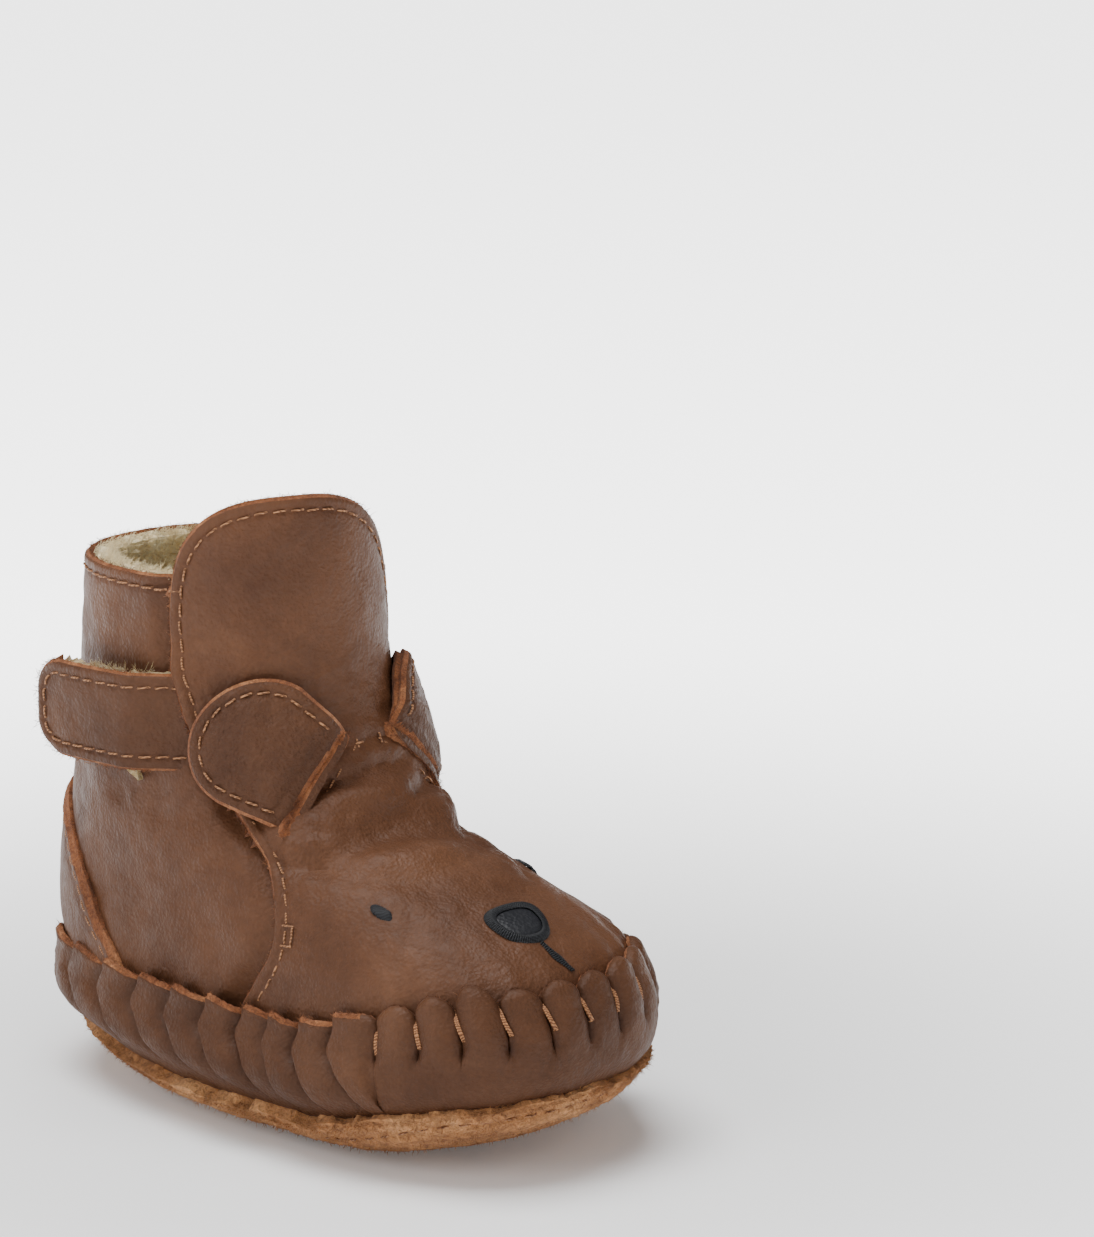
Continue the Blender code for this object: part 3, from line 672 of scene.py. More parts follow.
def vamp_rows(u):
    """Heights up each column, from under the band to the tongue's top edge."""
    low, top = 20.0, tongue_top(u)
    down = edge_steps(12.0, 0.9)[::-1] * 0.93
    rest = np.linspace(0, 1, 118)[:, None]
    body = low + (top[None, :] - down[0] - low) * rest
    cap = top[None, :] - down[1:, None]
    return np.vstack([body, cap])


def pucker(phi, z):
    """The vamp's small swellings between the band's stitches."""
    wave = np.cos(2 * math.pi * pleat_at(turn_of(phi - FACE)))
    fade, share = np.exp(-np.clip(z - seam_z(phi), 0, 50) / 3.0), smooth(80, 50, turn_of(phi - FACE))
    return -0.55 * wave * fade * (0.35 + 0.65 * share)


def strap_lift(phi, z):
    """The tongue's edge rides up where the strap leaves from under it."""
    beside = near_edge(z) - (phi - FACE)
    return 1.9 * np.exp(-(beside / 13.0) ** 2) * smooth(54, 60, z) * (1 - smooth(74.5, 81, z))


def build_vamp_and_tongue():
    sides = edge_steps(33.0, 0.66) / 33.0
    u = np.concatenate([1 - sides, -(1 - sides)[::-1][1:]])
    z = vamp_rows(u)
    phi = tongue_phi(u[None, :], z)
    base = skin(phi, z)
    border = np.concatenate([base[:, 0], base[-1], base[:, -1]])
    border = resample(border, 0.2)
    away = edge_distance(base, border)
    soft = (0.45 * wander(base, 24, 1) + 0.12 * wander(base, 7, 2)) * smooth(0, 8, away)
    d = stitched_edge(away) + soft + instep_creases(phi, z, base) + pucker(phi, z)
    d += 0.5 * smooth(80, 106, z) + 0.1 * wander(base, 0.5, 14, 2) * smooth(0.9, 0.2, away)
    d += strap_lift(phi, z)
    tuck = 1 - smooth(0, 4.0, z - seam_z(phi) + 1.0)
    points = skin(phi, z, d - 0.35 * tuck)
    obj = add_sheet("vamp_and_tongue", points)
    dress(obj, BROWN_LEATHER, FLESH, RAW_EDGE)
    mark_raw(obj, away)
    thicken(obj, LEATHER)
    shade(obj, 40)
    place(obj, bend=BEND, stands_for=("vamp", "tongue"), slot="vamp_leather")
    line = tongue_outline()
    line = line[line[:, 1] > seam_z(line[:, 0]) + 2]
    lift = -0.9 + 0.5 * smooth(80, 106, line[:, 1]) + strap_lift(line[:, 0], line[:, 1])
    path, normals = skin(line[:, 0], line[:, 1], lift), skin_normal(line[:, 0], line[:, 1])
    edge_fuzz("tongue_fuzz", path, normals, 6.0, dict(bend=BEND), lift=0.2)


def build_tongue_fleece():
    u = np.linspace(1, -1, 84)
    low = 19.0
    z = low + (tongue_top(u)[None, :] - 1.2 - low) * np.linspace(0, 1, 130)[:, None]
    phi = tongue_phi(u[None, :], z, 8.0)
    fluff = 0.35 * wander(skin(phi, z), 1.7, 5, 3) - 2.0 * smooth(36, 43, z) * (1 - smooth(60, 68, z))
    obj = add_sheet("tongue_fleece", skin(phi, z, -LEATHER - 3.0 + fluff)[:, ::-1])
    dress(obj, FLEECE)
    pad_inward(obj, 2.5)
    place(obj, bend=BEND, stands_for=("vamp_lining", "tongue_lining"), slot="fleece")


def tongue_outline():
    """(phi, z) along the free edge, from the strap's side over the top to the other side."""
    z = np.linspace(23.0, 88.0, 90)
    up = np.column_stack([tongue_phi(1.0, z), z])
    u = np.cos(np.linspace(0.02, math.pi - 0.02, 160))
    u = np.sign(u) * np.abs(u) ** 0.45
    top = tongue_top(u)
    over = np.column_stack([tongue_phi(u, top), top])
    z = np.linspace(88.0, 23.0, 90)
    down = np.column_stack([tongue_phi(-1.0, z), z])
    return resample(np.vstack([up[:-1], over, down[1:]]), 0.6)


def build_tongue_stitches():
    line = tongue_outline()
    phi, z = inset_line(line[:, 0], line[:, 1], -2.4)
    keep = z > seam_z(phi) + 1.5
    phi, z = phi[keep], z[keep]
    lift = 0.5 * smooth(80, 106, z) - 0.16 + strap_lift(phi, z)
    sew("tongue_stitches", skin(phi, z, lift), skin_normal(phi, z), dict(bend=BEND),
        ("tongue_thread", "vamp_thread_right", "vamp_thread_left"))


# ---- quarter ------------------------------------------------------------------------------------

def quarter_phi(share, z, tuck):
    """Angle at a share of the way round the quarter, and how deep it lies under the tongue's edges."""
    near, far = near_edge(z), far_edge(z)
    phi = FACE + near - tuck + share * (360 - near - far + 2 * tuck)
    from_near, from_far = phi - FACE, 360 + FACE - phi
    dip = 1.9 * (2 - smooth(near - 1, near + 11, from_near) - smooth(far - 1, far + 11, from_far))
    return phi, np.minimum(dip, 1.9)


def build_quarter():
    share = np.linspace(0, 1, 210)[None, :]
    rows = np.concatenate([np.linspace(18.0, RIM_Z - 4.2, 92), RIM_Z - edge_steps(4.2, 0.5)[::-1][1:]])
    z = rows[:, None] * np.ones_like(share)
    phi, dip = quarter_phi(share, z, 9.0)
    base = skin(phi, z)
    border = resample(base[-1], 0.3)
    away = edge_distance(base, border)
    soft = (0.55 * wander(base, 18, 8) + 0.12 * wander(base, 6, 7)) * smooth(0, 8, away)
    low = 1 - smooth(26, 46, z)
    folds = 0.6 * low * np.sin(phi / 4.6 + 1.3 * np.sin(z / 9.0)) * (0.5 + 0.5 * wander(base, 14, 2))
    slump = 0.8 * np.exp(-((z - 54 - 3 * np.sin(phi / 20)) / 2.6) ** 2) * wander(base, 13, 4)
    ragged = 0.1 * wander(base, 0.5, 15, 2) * smooth(0.9, 0.2, away)
    d = stitched_edge(away) - dip + soft + folds + slump + ragged
    obj = add_sheet("quarter_leather", skin(phi, z, d)[:, ::-1])
    dress(obj, BROWN_LEATHER, FLESH, RAW_EDGE)
    mark_raw(obj, away[:, ::-1])
    thicken(obj, LEATHER, 0.12)
    shade(obj, 40)
    place(obj, "upper", stands_for=("quarter",), slot="quarter_leather")
    line_phi = np.linspace(FACE + 66, FACE + 360 - 30, 300)
    path, normals = skin(line_phi, RIM_Z, -0.9), skin_normal(line_phi, RIM_Z)
    edge_fuzz("rim_fuzz", path, normals, 6.0, dict(body="upper"), lift=0.2)
    inset = skin(line_phi, RIM_Z - 2.4, -0.05)
    sew("quarter_stitches", inset, skin_normal(line_phi, RIM_Z - 2.4), dict(body="upper"),
        ("quarter_thread",))


def build_fleece_nap():
    """Curly fibres over the fleece that shows inside the shaft's mouth."""
    count = 9000
    phi = chance.uniform(FACE + 60, FACE + 330, count)
    at_rim, down = chance.uniform(0, 1, count) < 0.45, chance.uniform(0, 1.2, count)
    z = RIM_Z - 0.2 - np.where(at_rim, down, np.abs(chance.normal(0, 7.0, count)))
    depth = np.where(z > RIM_Z - 1.2, chance.uniform(-4.6, -1.5, count), -4.5)
    ways = -0.8 * skin_normal(phi, z) + np.array([0, 0, 0.5])
    obj = fuzz("quarter_fleece_nap", skin(phi, z, depth), ways, 1.1, 0.055, FLEECE)
    place(obj, "upper")


def build_quarter_fleece():
    share = np.linspace(0, 1, 190)[None, :]
    z = np.linspace(18.0, RIM_Z - 0.6, 96)[:, None] * np.ones_like(share)
    phi, dip = quarter_phi(share, z, 8.0)
    base = skin(phi, z)
    fluff = 0.45 * wander(base, 1.8, 9, 3) + 0.25 * wander(base, 5.0, 6, 2)
    swell = 0.5 * smooth(RIM_Z - 5, RIM_Z - 1, z)
    obj = add_sheet("quarter_fleece", skin(phi, z, -dip - LEATHER - 3.0 - swell + fluff))
    dress(obj, FLEECE)
    pad_inward(obj, 2.7)
    place(obj, "upper", stands_for=("quarter_lining",), slot="fleece")


# ---- puckered band ----------------------------------------------------------------------------

PLEATS = 17
TURNS = np.linspace(0, 180, 721)


def pleat_pitch(turn):
    """Degrees per pleat: close at the toe and the heel, wider along the sides."""
    return 9.2 + 4.0 * smooth(30, 62, turn) * (1 - smooth(118, 140, turn)) - 0.7 * smooth(140, 160, turn)


PLEAT_COUNT = np.concatenate([[0], np.cumsum(0.25 / pleat_pitch((TURNS[1:] + TURNS[:-1]) / 2))])
PLEAT_COUNT *= PLEATS / PLEAT_COUNT[-1]


def pleat_at(turn):
    """Pleats counted from the middle of the toe. Whole numbers are the stitched valleys."""
    return np.interp(turn, TURNS, PLEAT_COUNT)


def turn_at(pleat):
    return np.interp(pleat, PLEAT_COUNT, TURNS)


def band_half(side, wall_rows=30, lip_rows=8, drop_rows=5):
    """Rows x columns of one side of the band, from the toe's middle to the heel's."""
    within = np.array([0, .035, .08, .14, .21, .29, .37, .45, .53, .61, .69, .76, .82, .87, .91, .94,
                       .962, .98, .993])
    q = np.tile(within, PLEATS)
    number = np.repeat(np.arange(PLEATS), len(within))
    q, number = np.append(q, 0.0), np.append(number, PLEATS)
    column = number + q
    toe = smooth(56, 44, turn_at(column))
    side_part = 1 - toe
    v = np.concatenate([np.linspace(0, 1, wall_rows), np.ones(lip_rows + drop_rows)])[:, None]
    lip, fall = np.linspace(0, 1, lip_rows + 1)[1:], np.linspace(0, 1, drop_rows + 1)[1:]
    over = np.concatenate([np.zeros(wall_rows), lip, np.ones(drop_rows)])[:, None]
    drop = np.concatenate([np.zeros(wall_rows + lip_rows), fall])[:, None]
    # each groove runs down toward the toe, and bows toward the heel just below the top edge
    ends = smooth(0, 2.5, column) * (1 - smooth(PLEATS - 2.0, PLEATS, column))
    low_down = np.clip((0.80 - v) / 0.55, 0, 1)
    lean = side_part * ends * (-1.05 * low_down ** 1.5 + 0.10 * np.exp(-((v - 0.80) / 0.10) ** 2))
    turn = turn_at(column[None, :] + lean)
    phi = FACE + side * turn
    # toe: even round swells. Sides: flat tiles that fall away toward the toe under the next one
    swell = np.sin(math.pi * q) ** 0.42
    rising = np.clip(q / 0.62, 0, 1)
    past = np.maximum(q - 0.90, 0) / 0.10
    tile = np.where(q < 0.90, (rising * (2 - rising)) ** 0.8, 1 - past ** 1.6)
    tile = np.clip(tile, 0, 1)
    swell, tile = swell[None, :], tile[None, :]
    uneven = (0.88 + 0.24 * np.sin(number * 12.9898 + side) * np.sin(number * 4.1))[None, :]
    deep_toe = smooth(0.60, 0.84, v)
    deep_side = smooth(0.16, 0.56, v)
    rise = toe * 2.0 * uneven * swell * deep_toe + side_part * 2.7 * uneven * tile * deep_side
    toe_level = 1.3 + 1.9 * np.sin(math.pi * np.clip(v, 0, 0.80) / 0.95) - 1.8 * smooth(0.58, 1.0, v)
    belly = 1.6 * np.sin(math.pi * np.clip(v * 1.1, 0, 1)) ** 0.8 * smooth(1.0, 0.45, v) ** 0.3
    level = toe * toe_level + side_part * (1.0 + belly - 0.6 * smooth(0.3, 1.0, v))
    # puckers that fan out below each lacing hole, and the hole itself
    aside, below = ((q + 0.5) % 1 - 0.5)[None, :] * 7.0, (0.74 - v) * 26.0
    from_hole, fan = np.hypot(aside, below), np.arctan2(aside, below)
    fan_fade = np.exp(-(from_hole / 3.4) ** 2)
    puckers = 0.20 * np.cos(8.0 * fan + 0.8 * np.sin(number * 3.7)) * smooth(0.3, 1.3, from_hole) * fan_fade
    hole = np.exp(-(from_hole / 0.75) ** 2)
    wall = level + rise + (toe + 0.6 * side_part) * puckers - 0.6 * toe * hole
    low, seam = 6.0, seam_z(phi)
    top = seam + toe * (-1.2) + side_part * 0.1
    z_wall = low + (top - low) * v
    saw = np.where(q < 0.91, -0.9 + 1.9 * (q / 0.91) ** 0.7, 1.0 - 1.9 * (q - 0.91) / 0.09)[None, :]
    bow = toe * (2.1 * swell * uneven - 1.0) + side_part * 1.15 * saw * uneven
    z_wall = z_wall + bow * smooth(0.6, 1, v)
    # the top edge: rolled in at the toe, and a slanted raw cut elsewhere
    a = over * math.pi / 2
    d_toe = wall * np.cos(a * 0.92) - 0.35 * np.sin(a)
    z_toe = z_wall + (0.35 + 1.25 * swell) * np.sin(a) - 0.5 * over ** 3
    d_side = wall - 1.25 * over
    z_side = z_wall + 0.75 * np.sin(over * math.pi * 0.62)
    d_rim, z_rim = toe * d_toe + side_part * d_side, toe * z_toe + side_part * z_side
    d = np.where(drop > 0, d_rim - (0.3 + 0.15 * toe) * drop, np.where(over > 0, d_rim, wall))
    z = np.where(drop > 0, z_rim - 3.2 * drop, np.where(over > 0, z_rim, z_wall))
    # overhang of each tile's edge, over the one before it
    near_lip = smooth(0.72, 0.97, q)[None, :]
    hang = side_part * 0.9 * tile * near_lip * deep_side * (0.4 + 0.6 * smooth(0.95, 0.72, v))
    phi = phi + side * hang / 0.62
    # crest: high on the pleats' tops, low in the valleys and at the lacing holes; the band's leather darkens
    # low values as painted shade
    crest = np.clip(toe * (0.25 + 0.75 * swell) + side_part * (0.2 + 0.8 * tile), 0, 1)
    crest = (1 - (1 - crest) * (toe * deep_toe + side_part * deep_side)) * (1 - 0.9 * toe * hole)
    raw = np.where(over > 0.12, side_part + toe * (over > 0.72), 0) > 0.5
    return phi, z, d, crest * np.ones_like(z), raw & np.ones_like(z, bool)


def build_band():
    one, two = band_half(1), band_half(-1)
    phi, z, d, crest, raw = [np.concatenate([a[:, ::-1], b[:, 1:]], axis=1) for a, b in zip(one, two)]
    base = skin(phi, z)
    grain = 0.10 * wander(base, 1.3, 12, 2) + 0.22 * wander(base, 8.0, 13, 2)
    rough = np.where(raw, 0.22 * wander(base, 0.55, 17, 2), 0)
    points = skin(phi, z + rough, d + grain)
    points[:, -1] = points[:, 0]
    obj = add_sheet("puckered_band", points)
    # the crest attribute carries the painted shade of the valleys and lacing holes into the band's leather
    set_values(obj, "crest", crest)
    dress(obj, BAND_LEATHER, RAW_EDGE)
    for k in np.flatnonzero((raw[1:, 1:] & raw[:-1, :-1]).ravel()):
        obj.data.polygons[int(k)].material_index = 1
    close_seam(obj)
    shade(obj, 60)
    place(obj, "upper", stands_for=("moccasin_band",), slot="band_leather")
    ways = skin_normal(phi, z) * 0.6 + np.array([0, 0, 0.7])
    picked = np.argwhere(raw)
    picked = picked[chance.integers(0, len(picked), 5200)]
    roots = points[picked[:, 0], picked[:, 1]] + chance.normal(0, 0.10, (len(picked), 3))
    place(fuzz("band_lip_fuzz", roots, ways[picked[:, 0], picked[:, 1]], 0.55, 0.035, RAW_EDGE), "upper")


def build_band_cords():
    lines = []
    for side in (1, -1):
        for k in range(0 if side > 0 else 1, PLEATS + (side > 0)):
            turn = turn_at(k)
            toe = float(smooth(56, 44, turn))
            phi = FACE + side * turn
            top = seam_z(phi)
            if toe > 0.3:
                z = top + np.array([-1.4, -2.0, -2.8, -3.8, -4.8, -5.7, -6.1])
                d = np.array([-0.8, 0.5, 1.25, 1.65, 1.95, 2.15, 0.7])
                step = np.array([0.3, 0.3, 0.2, 0.1, -0.2, -0.6, -0.8])
            else:
                z = top + np.array([-0.8, -1.0, -1.6, -2.4, -3.2, -3.5])
                d = np.array([-0.3, 0.9, 1.35, 1.45, 1.35, 0.4])
                step = np.array([-0.3, -0.3, -0.4, -0.4, -0.5, -0.5])
            phi = phi + side * step
            for beside in (-0.17, 0.17):
                lines.append(skin(phi + beside / 0.75, z, d))
    obj = strands("band_lacing", lines, 0.21, CORD, 2)
    place(obj, "upper", stands_for=("band_cord",), slot="cord")


# ---- outsole -------------------------------------------------------------------------------------

def ring_angles(count):
    a = np.linspace(0, 2 * math.pi, count + 1)
    return np.degrees(a - 0.24 * np.sin(2 * a))[::-1]


def foot_rows(start, count, bend, phi):
    """Rows from the middle of the flat bottom out to its edge, then up round the bend."""
    rows = np.concatenate([[-15.299], np.linspace(start, 4.4, count), bend])
    return rows[:, None] * np.ones(len(phi))


def build_outsole():
    phi = ring_angles(420)
    edge = sole_z(phi) + 0.30 * np.sin(np.radians(phi) * 9) + 0.22 * np.sin(np.radians(phi) * 23 + 1)
    t = foot_rows(-14, 22, [4.7, 5.0, 5.3, 5.8, 6.4, 7.0, 7.6], phi)
    upper = 7.6 + (edge - 7.6) * (np.linspace(0, 1, 22)[1:, None] ** 0.85)
    t = np.vstack([t, upper])
    away = np.where(t > 7, (edge - t) * 1.25, 12.0)
    flare = -0.25 * np.exp(-away / 2.0)
    groove = -0.42 * np.exp(-((away - 3.4) / 0.6) ** 2)
    out = np.where(t < 5, 4.7, 4.3) + np.where(t > 6, flare + groove, 0)
    base = skin(phi, t, out)
    up = smooth(4, 7, t)
    tufts = 0.30 * wander(base, 2.0, 21, 3) + 0.30 * wander(base, 9, 22, 2) + 0.16 * wander(base, 0.8, 23, 2)
    rough = up * tufts
    points = skin(phi, t, out + rough)
    points[..., 2] = np.maximum(points[..., 2], 0.0)
    points[:, -1] = points[:, 0]
    obj = add_sheet("suede_outsole", points)
    close_seam(obj)
    dress(obj, SOLE_SUEDE, SOLE_SUEDE, SOLE_SUEDE)
    thicken(obj, 2.2, 0.35)
    shade(obj, 70)
    place(obj, "upper", stands_for=("outsole",), slot="outsole_suede")
    line_phi = ring_angles(500)
    z = sole_z(line_phi) - 2.75
    path = skin(line_phi, z, 3.85)
    sew("outsole_stitches", path, skin_normal(line_phi, z), dict(body="upper"), ("outsole_thread",),
        3.6, 2.1, 0.18)
    count = 15000
    at = chance.uniform(-180, 180, count)
    at_edge, near = chance.uniform(0, 1, count) < 0.45, np.abs(chance.normal(0, 0.5, count))
    down = np.where(at_edge, near, chance.uniform(0, 8.5, count))
    top = sole_z(at) - down
    roots = skin(at, top, 4.2 - 1.3 * (down < 0.35) * chance.uniform(0, 1, count))
    upward = np.where(down < 0.8, 0.7, 0.1)[:, None] * np.array([0.0, 0.0, 1.0])
    ways = skin_normal(at, top) * 0.7 + upward
    obj = fuzz("outsole_nap", roots, ways, 0.6, 0.04, SOLE_SUEDE)
    place(obj, "upper")


# ---- insole and bottom lining ----------------------------------------------------------------------

def fleece_bowl(name, t, d, fluff, thickness, node):
    """A fleece dish under the foot. fluff: its noise as (scale, seed)."""
    phi = ring_angles(160)
    base = skin(phi, t, d)
    points = skin(phi, t, d + 0.3 * wander(base, *fluff, 2))
    points[:, -1] = points[:, 0]
    obj = add_sheet(name, points[:, ::-1])
    close_seam(obj)
    dress(obj, FLEECE)
    only(obj)
    bpy.ops.object.mode_set(mode="EDIT")
    bpy.ops.mesh.select_all(action="SELECT")
    bpy.ops.mesh.normals_make_consistent(inside=True)
    bpy.ops.object.mode_set(mode="OBJECT")
    pad_inward(obj, thickness)
    place(obj, "upper", stands_for=(node,), slot="fleece" if node == "bottom_lining" else "insole_fleece")
    return obj


def build_inside():
    phi = ring_angles(160)
    flat = foot_rows(-13, 14, [4.7, 5.0, 5.5, 6.2, 7.2], phi)
    wall = 7.2 + (seam_z(phi) - 5.0 - 7.2) * np.linspace(0, 1, 12)[1:, None]
    fleece_bowl("bottom_fleece", np.vstack([flat, wall]), -2.9, (1.9, 31), 2.6, "bottom_lining")
    t = foot_rows(-13, 22, [4.7, 5.0, 5.4, 5.9, 6.5], phi)
    obj = fleece_bowl("insole_fleece", t, -5.9 + 0.9 * smooth(5.4, 6.6, t), (2.0, 33), 2.2, "insole_pad")


# ---- heel patch ------------------------------------------------------------------------------------

def heel_top(u):
    """Height of the patch's domed edge over its width."""
    return 51.0 - 4.5 * np.abs(u) ** 2.4


def heel_half(z):
    """Half the patch's width at a height, in degrees."""
    return np.interp(z, [20, 24, 30, 38, 44, 51], [36, 33, 29, 25, 22, 18.5])


def build_heel_patch():
    rim = [1, .987, .974, .96, .945, .93, .91, .89]
    u = np.concatenate([rim, np.linspace(.87, -.87, 56), [-share for share in rim[::-1]]])
    top = heel_top(u)
    near_top = [.87, .89, .91, .93, .945, .96, .973, .987, 1.0]
    rest = np.concatenate([np.linspace(0, 0.85, 44), near_top])[:, None]
    z = 20.0 + (top[None, :] - 20.0) * rest
    half = heel_half(z)
    phi = 180 + u[None, :] * half
    base = skin(phi, z)
    border = resample(np.concatenate([base[:, 0], base[-1], base[:, -1]]), 0.25)
    away = edge_distance(base, border)
    d = 0.25 + LEATHER + stitched_edge(away, 3.1, 1.7) + 0.25 * wander(base, 14, 41) * smooth(0, 6, away)
    d += 0.18 * wander(base, 0.5, 42, 2) * smooth(2.0, 1.0, away)
    obj = add_sheet("heel_patch_leather", skin(phi, z, d))
    dress(obj, BROWN_LEATHER, FLESH, RAW_EDGE)
    mark_raw(obj, away, 1.9)
    thicken(obj, LEATHER, 0.12)
    shade(obj, 40)
    place(obj, "upper", stands_for=("heel_patch",), slot="heel_leather")
    edge_fuzz("heel_patch_fuzz", border, skin_normal(180, 40.0), 6.0, dict(body="upper"))
    u = np.linspace(1, -1, 61)
    side_z = np.linspace(23.5, heel_top(1.0), 40)
    side_half = heel_half(side_z)
    top_half = heel_half(heel_top(u))
    line = np.vstack([np.column_stack([180 + side_half, side_z]),
                      np.column_stack([180 + u * top_half, heel_top(u)])[1:-1],
                      np.column_stack([180 - side_half[::-1], side_z[::-1]])])
    line = resample(line, 0.5)
    phi, z = inset_line(line[:, 0], line[:, 1], -3.1)
    sew("heel_patch_stitches", skin(phi, z, LEATHER + 0.1), skin_normal(phi, z), dict(body="upper"),
        ("heel_patch_thread",))


# ---- ears ------------------------------------------------------------------------------------------

EAR_R = 11.8
EAR_AT = (41.0, 64.1)
SLIT_A, SLIT_B = (10.0, 64.8), (45.0, 50.7)
ROOT_LENGTH, ROOT_TUCK = 20.0, 1.6


def ear_frame(side):
    origin = skin(FACE + side * EAR_AT[0], EAR_AT[1])
    a, b = skin(FACE + side * SLIT_A[0], SLIT_A[1]), skin(FACE + side * SLIT_B[0], SLIT_B[1])
    phi = FACE + side * np.linspace(8.0, 72.0, 33)[:, None]
    near = skin(phi, np.linspace(50.0, 78.0, 33)[None, :]).reshape(-1, 3)
    near = near[np.linalg.norm(near - origin, axis=1) < EAR_R + 0.5]
    n = np.linalg.svd(near - near.mean(0))[2][2]
    n *= np.sign(np.dot(n, skin(FACE + side * EAR_AT[0], EAR_AT[1], 1.0) - origin))
    along = (b - a) - n * np.dot(b - a, n)
    u = along / np.linalg.norm(along)
    v = np.cross(n, u)
    reach = np.dot(origin - (a + b) / 2, v)
    if reach < 0:
        v, reach = -v, -reach
    return origin + n * np.dot(near - origin, n).max(), u, v, n, reach


HUG = {1: 0.45, -1: 0.9}


def ear_border(reach, root_half, count=150):
    """The flap's outline about its middle: a half circle, sides that narrow a little, a straight root."""
    angle = np.linspace(0, 2 * math.pi, count + 1)
    c, s = np.cos(angle), np.sin(angle)
    r = np.full(count + 1, EAR_R)
    low = s < 0
    slope = (EAR_R - root_half) / reach
    side = EAR_R / np.maximum(np.abs(c) + slope * np.abs(s), 1e-6)
    root = reach / np.maximum(np.abs(s), 1e-6)
    r[low] = (side[low] ** -9.0 + root[low] ** -9.0) ** (-1 / 9.0)
    return r * c, r * s


def ear_point(side, frame, x, y, lift):
    """A place on the flap: partly flat, partly following the skin below it."""
    origin, u, v, n, reach = frame
    flat = origin + u * x[..., None] + v * y[..., None] + n * lift[..., None]
    phi, z = [at + x * (b - a) / ROOT_LENGTH + y * (at - (a + b) / 2) / reach
              for at, a, b in zip(EAR_AT, SLIT_A, SLIT_B)]
    near = skin(FACE + side * phi, z, lift + 0.8)
    return flat + (near - flat) * HUG[side]


def ear_sheet(side, frame, lift, shrink, dome):
    reach = frame[4]
    bx, by = ear_border(reach + ROOT_TUCK, ROOT_LENGTH / 2)
    rings = [np.linspace(0.002, 0.62, 12), np.linspace(0.66, 0.955, 13), [0.975, 1.0]]
    k = np.concatenate(rings)[:, None] * shrink
    x, y = bx * k, by * k
    rim = np.stack([bx * shrink, by * shrink, np.zeros_like(bx)], -1)[by > -reach * 0.98]
    away = edge_distance(np.stack([x, y, np.zeros_like(x)], -1), resample(rim, 0.2))
    root = smooth(-reach - 1, -reach + 5.0, y)
    height = lift * (0.18 + 0.82 * root) + dome * (1 - k ** 2) * np.ones_like(x)
    sag = -0.045 * x ** 2 / EAR_R - 0.8 * smooth(2, EAR_R, y) ** 2
    bumps = 0.35 * wander(np.stack([x, y, x * 0 + side * 40], -1), 6.0, 51) * (1 - k ** 4)
    wrinkle = -0.16 * np.abs(wander(np.stack([x, y * 1.5, x * 0 + side * 9], -1), 3.4, 57, 2)) * (1 - k ** 4)
    return ear_point(side, frame, x, y, height + sag + bumps + wrinkle + stitched_edge(away)), away


def ear_leather(name, points, away, side, n, thickness, front, back):
    flip = side > 0
    points[:, -1] = points[:, 0]
    obj = add_sheet(name, points[:, ::-1] if flip else points)
    dress(obj, front, back, RAW_EDGE)
    mark_raw(obj, away[:, ::-1] if flip else away)
    close_seam(obj)
    face_way(obj, n)
    thicken(obj, thickness, 0.12)
    shade(obj, 40)
    return obj


def build_ear(side, name):
    frame = ear_frame(side)
    origin, _, v, n, reach = frame
    hinge = origin - v * min(reach, EAR_R - 2.5)
    bend = ("tongue", name, tuple((hinge - v * 1.0) * MM), tuple((hinge + v * 3.0) * MM))
    points, away = ear_sheet(side, frame, 2.9, 1.0, 0.9)
    obj = ear_leather(name + "_front", points, away, side, n, 1.25, EAR_LEATHER, FLESH)
    place(obj, bend=bend, stands_for=(name + "_outer",), slot="ear_leather")
    points, away = ear_sheet(side, frame, 1.62, 0.985, 0.55)
    obj = ear_leather(name + "_back", points, away, side, n, 1.15, FLESH, BROWN_LEATHER)
    place(obj, bend=bend, stands_for=(name + "_inner",), slot="ear_suede")
    bx, by = ear_border(reach, ROOT_LENGTH / 2)
    inset = 1 - 2.4 / EAR_R
    line = np.column_stack([bx * inset, np.where(by > 0, by * inset, by), np.zeros_like(bx)])[:-1]
    line = np.roll(line, len(line) // 4, axis=0)
    line = resample(line[line[:, 1] > -reach + 1.2], 0.3)
    x, y = line[:, 0], line[:, 1]
    height = 2.9 * (0.18 + 0.82 * smooth(-reach - 1, -reach + 5.0, y)) + 0.9 * (1 - inset ** 2)
    sag = -0.045 * x ** 2 / EAR_R - 0.8 * smooth(2, EAR_R, y) ** 2
    path = ear_point(side, frame, x, y, height + sag - 0.12)
    sew(name + "_stitches", path, np.tile(n, (len(path), 1)), dict(bend=bend), (name + "_thread",), 2.9, 2.0)
    build_slit(side, name, frame)


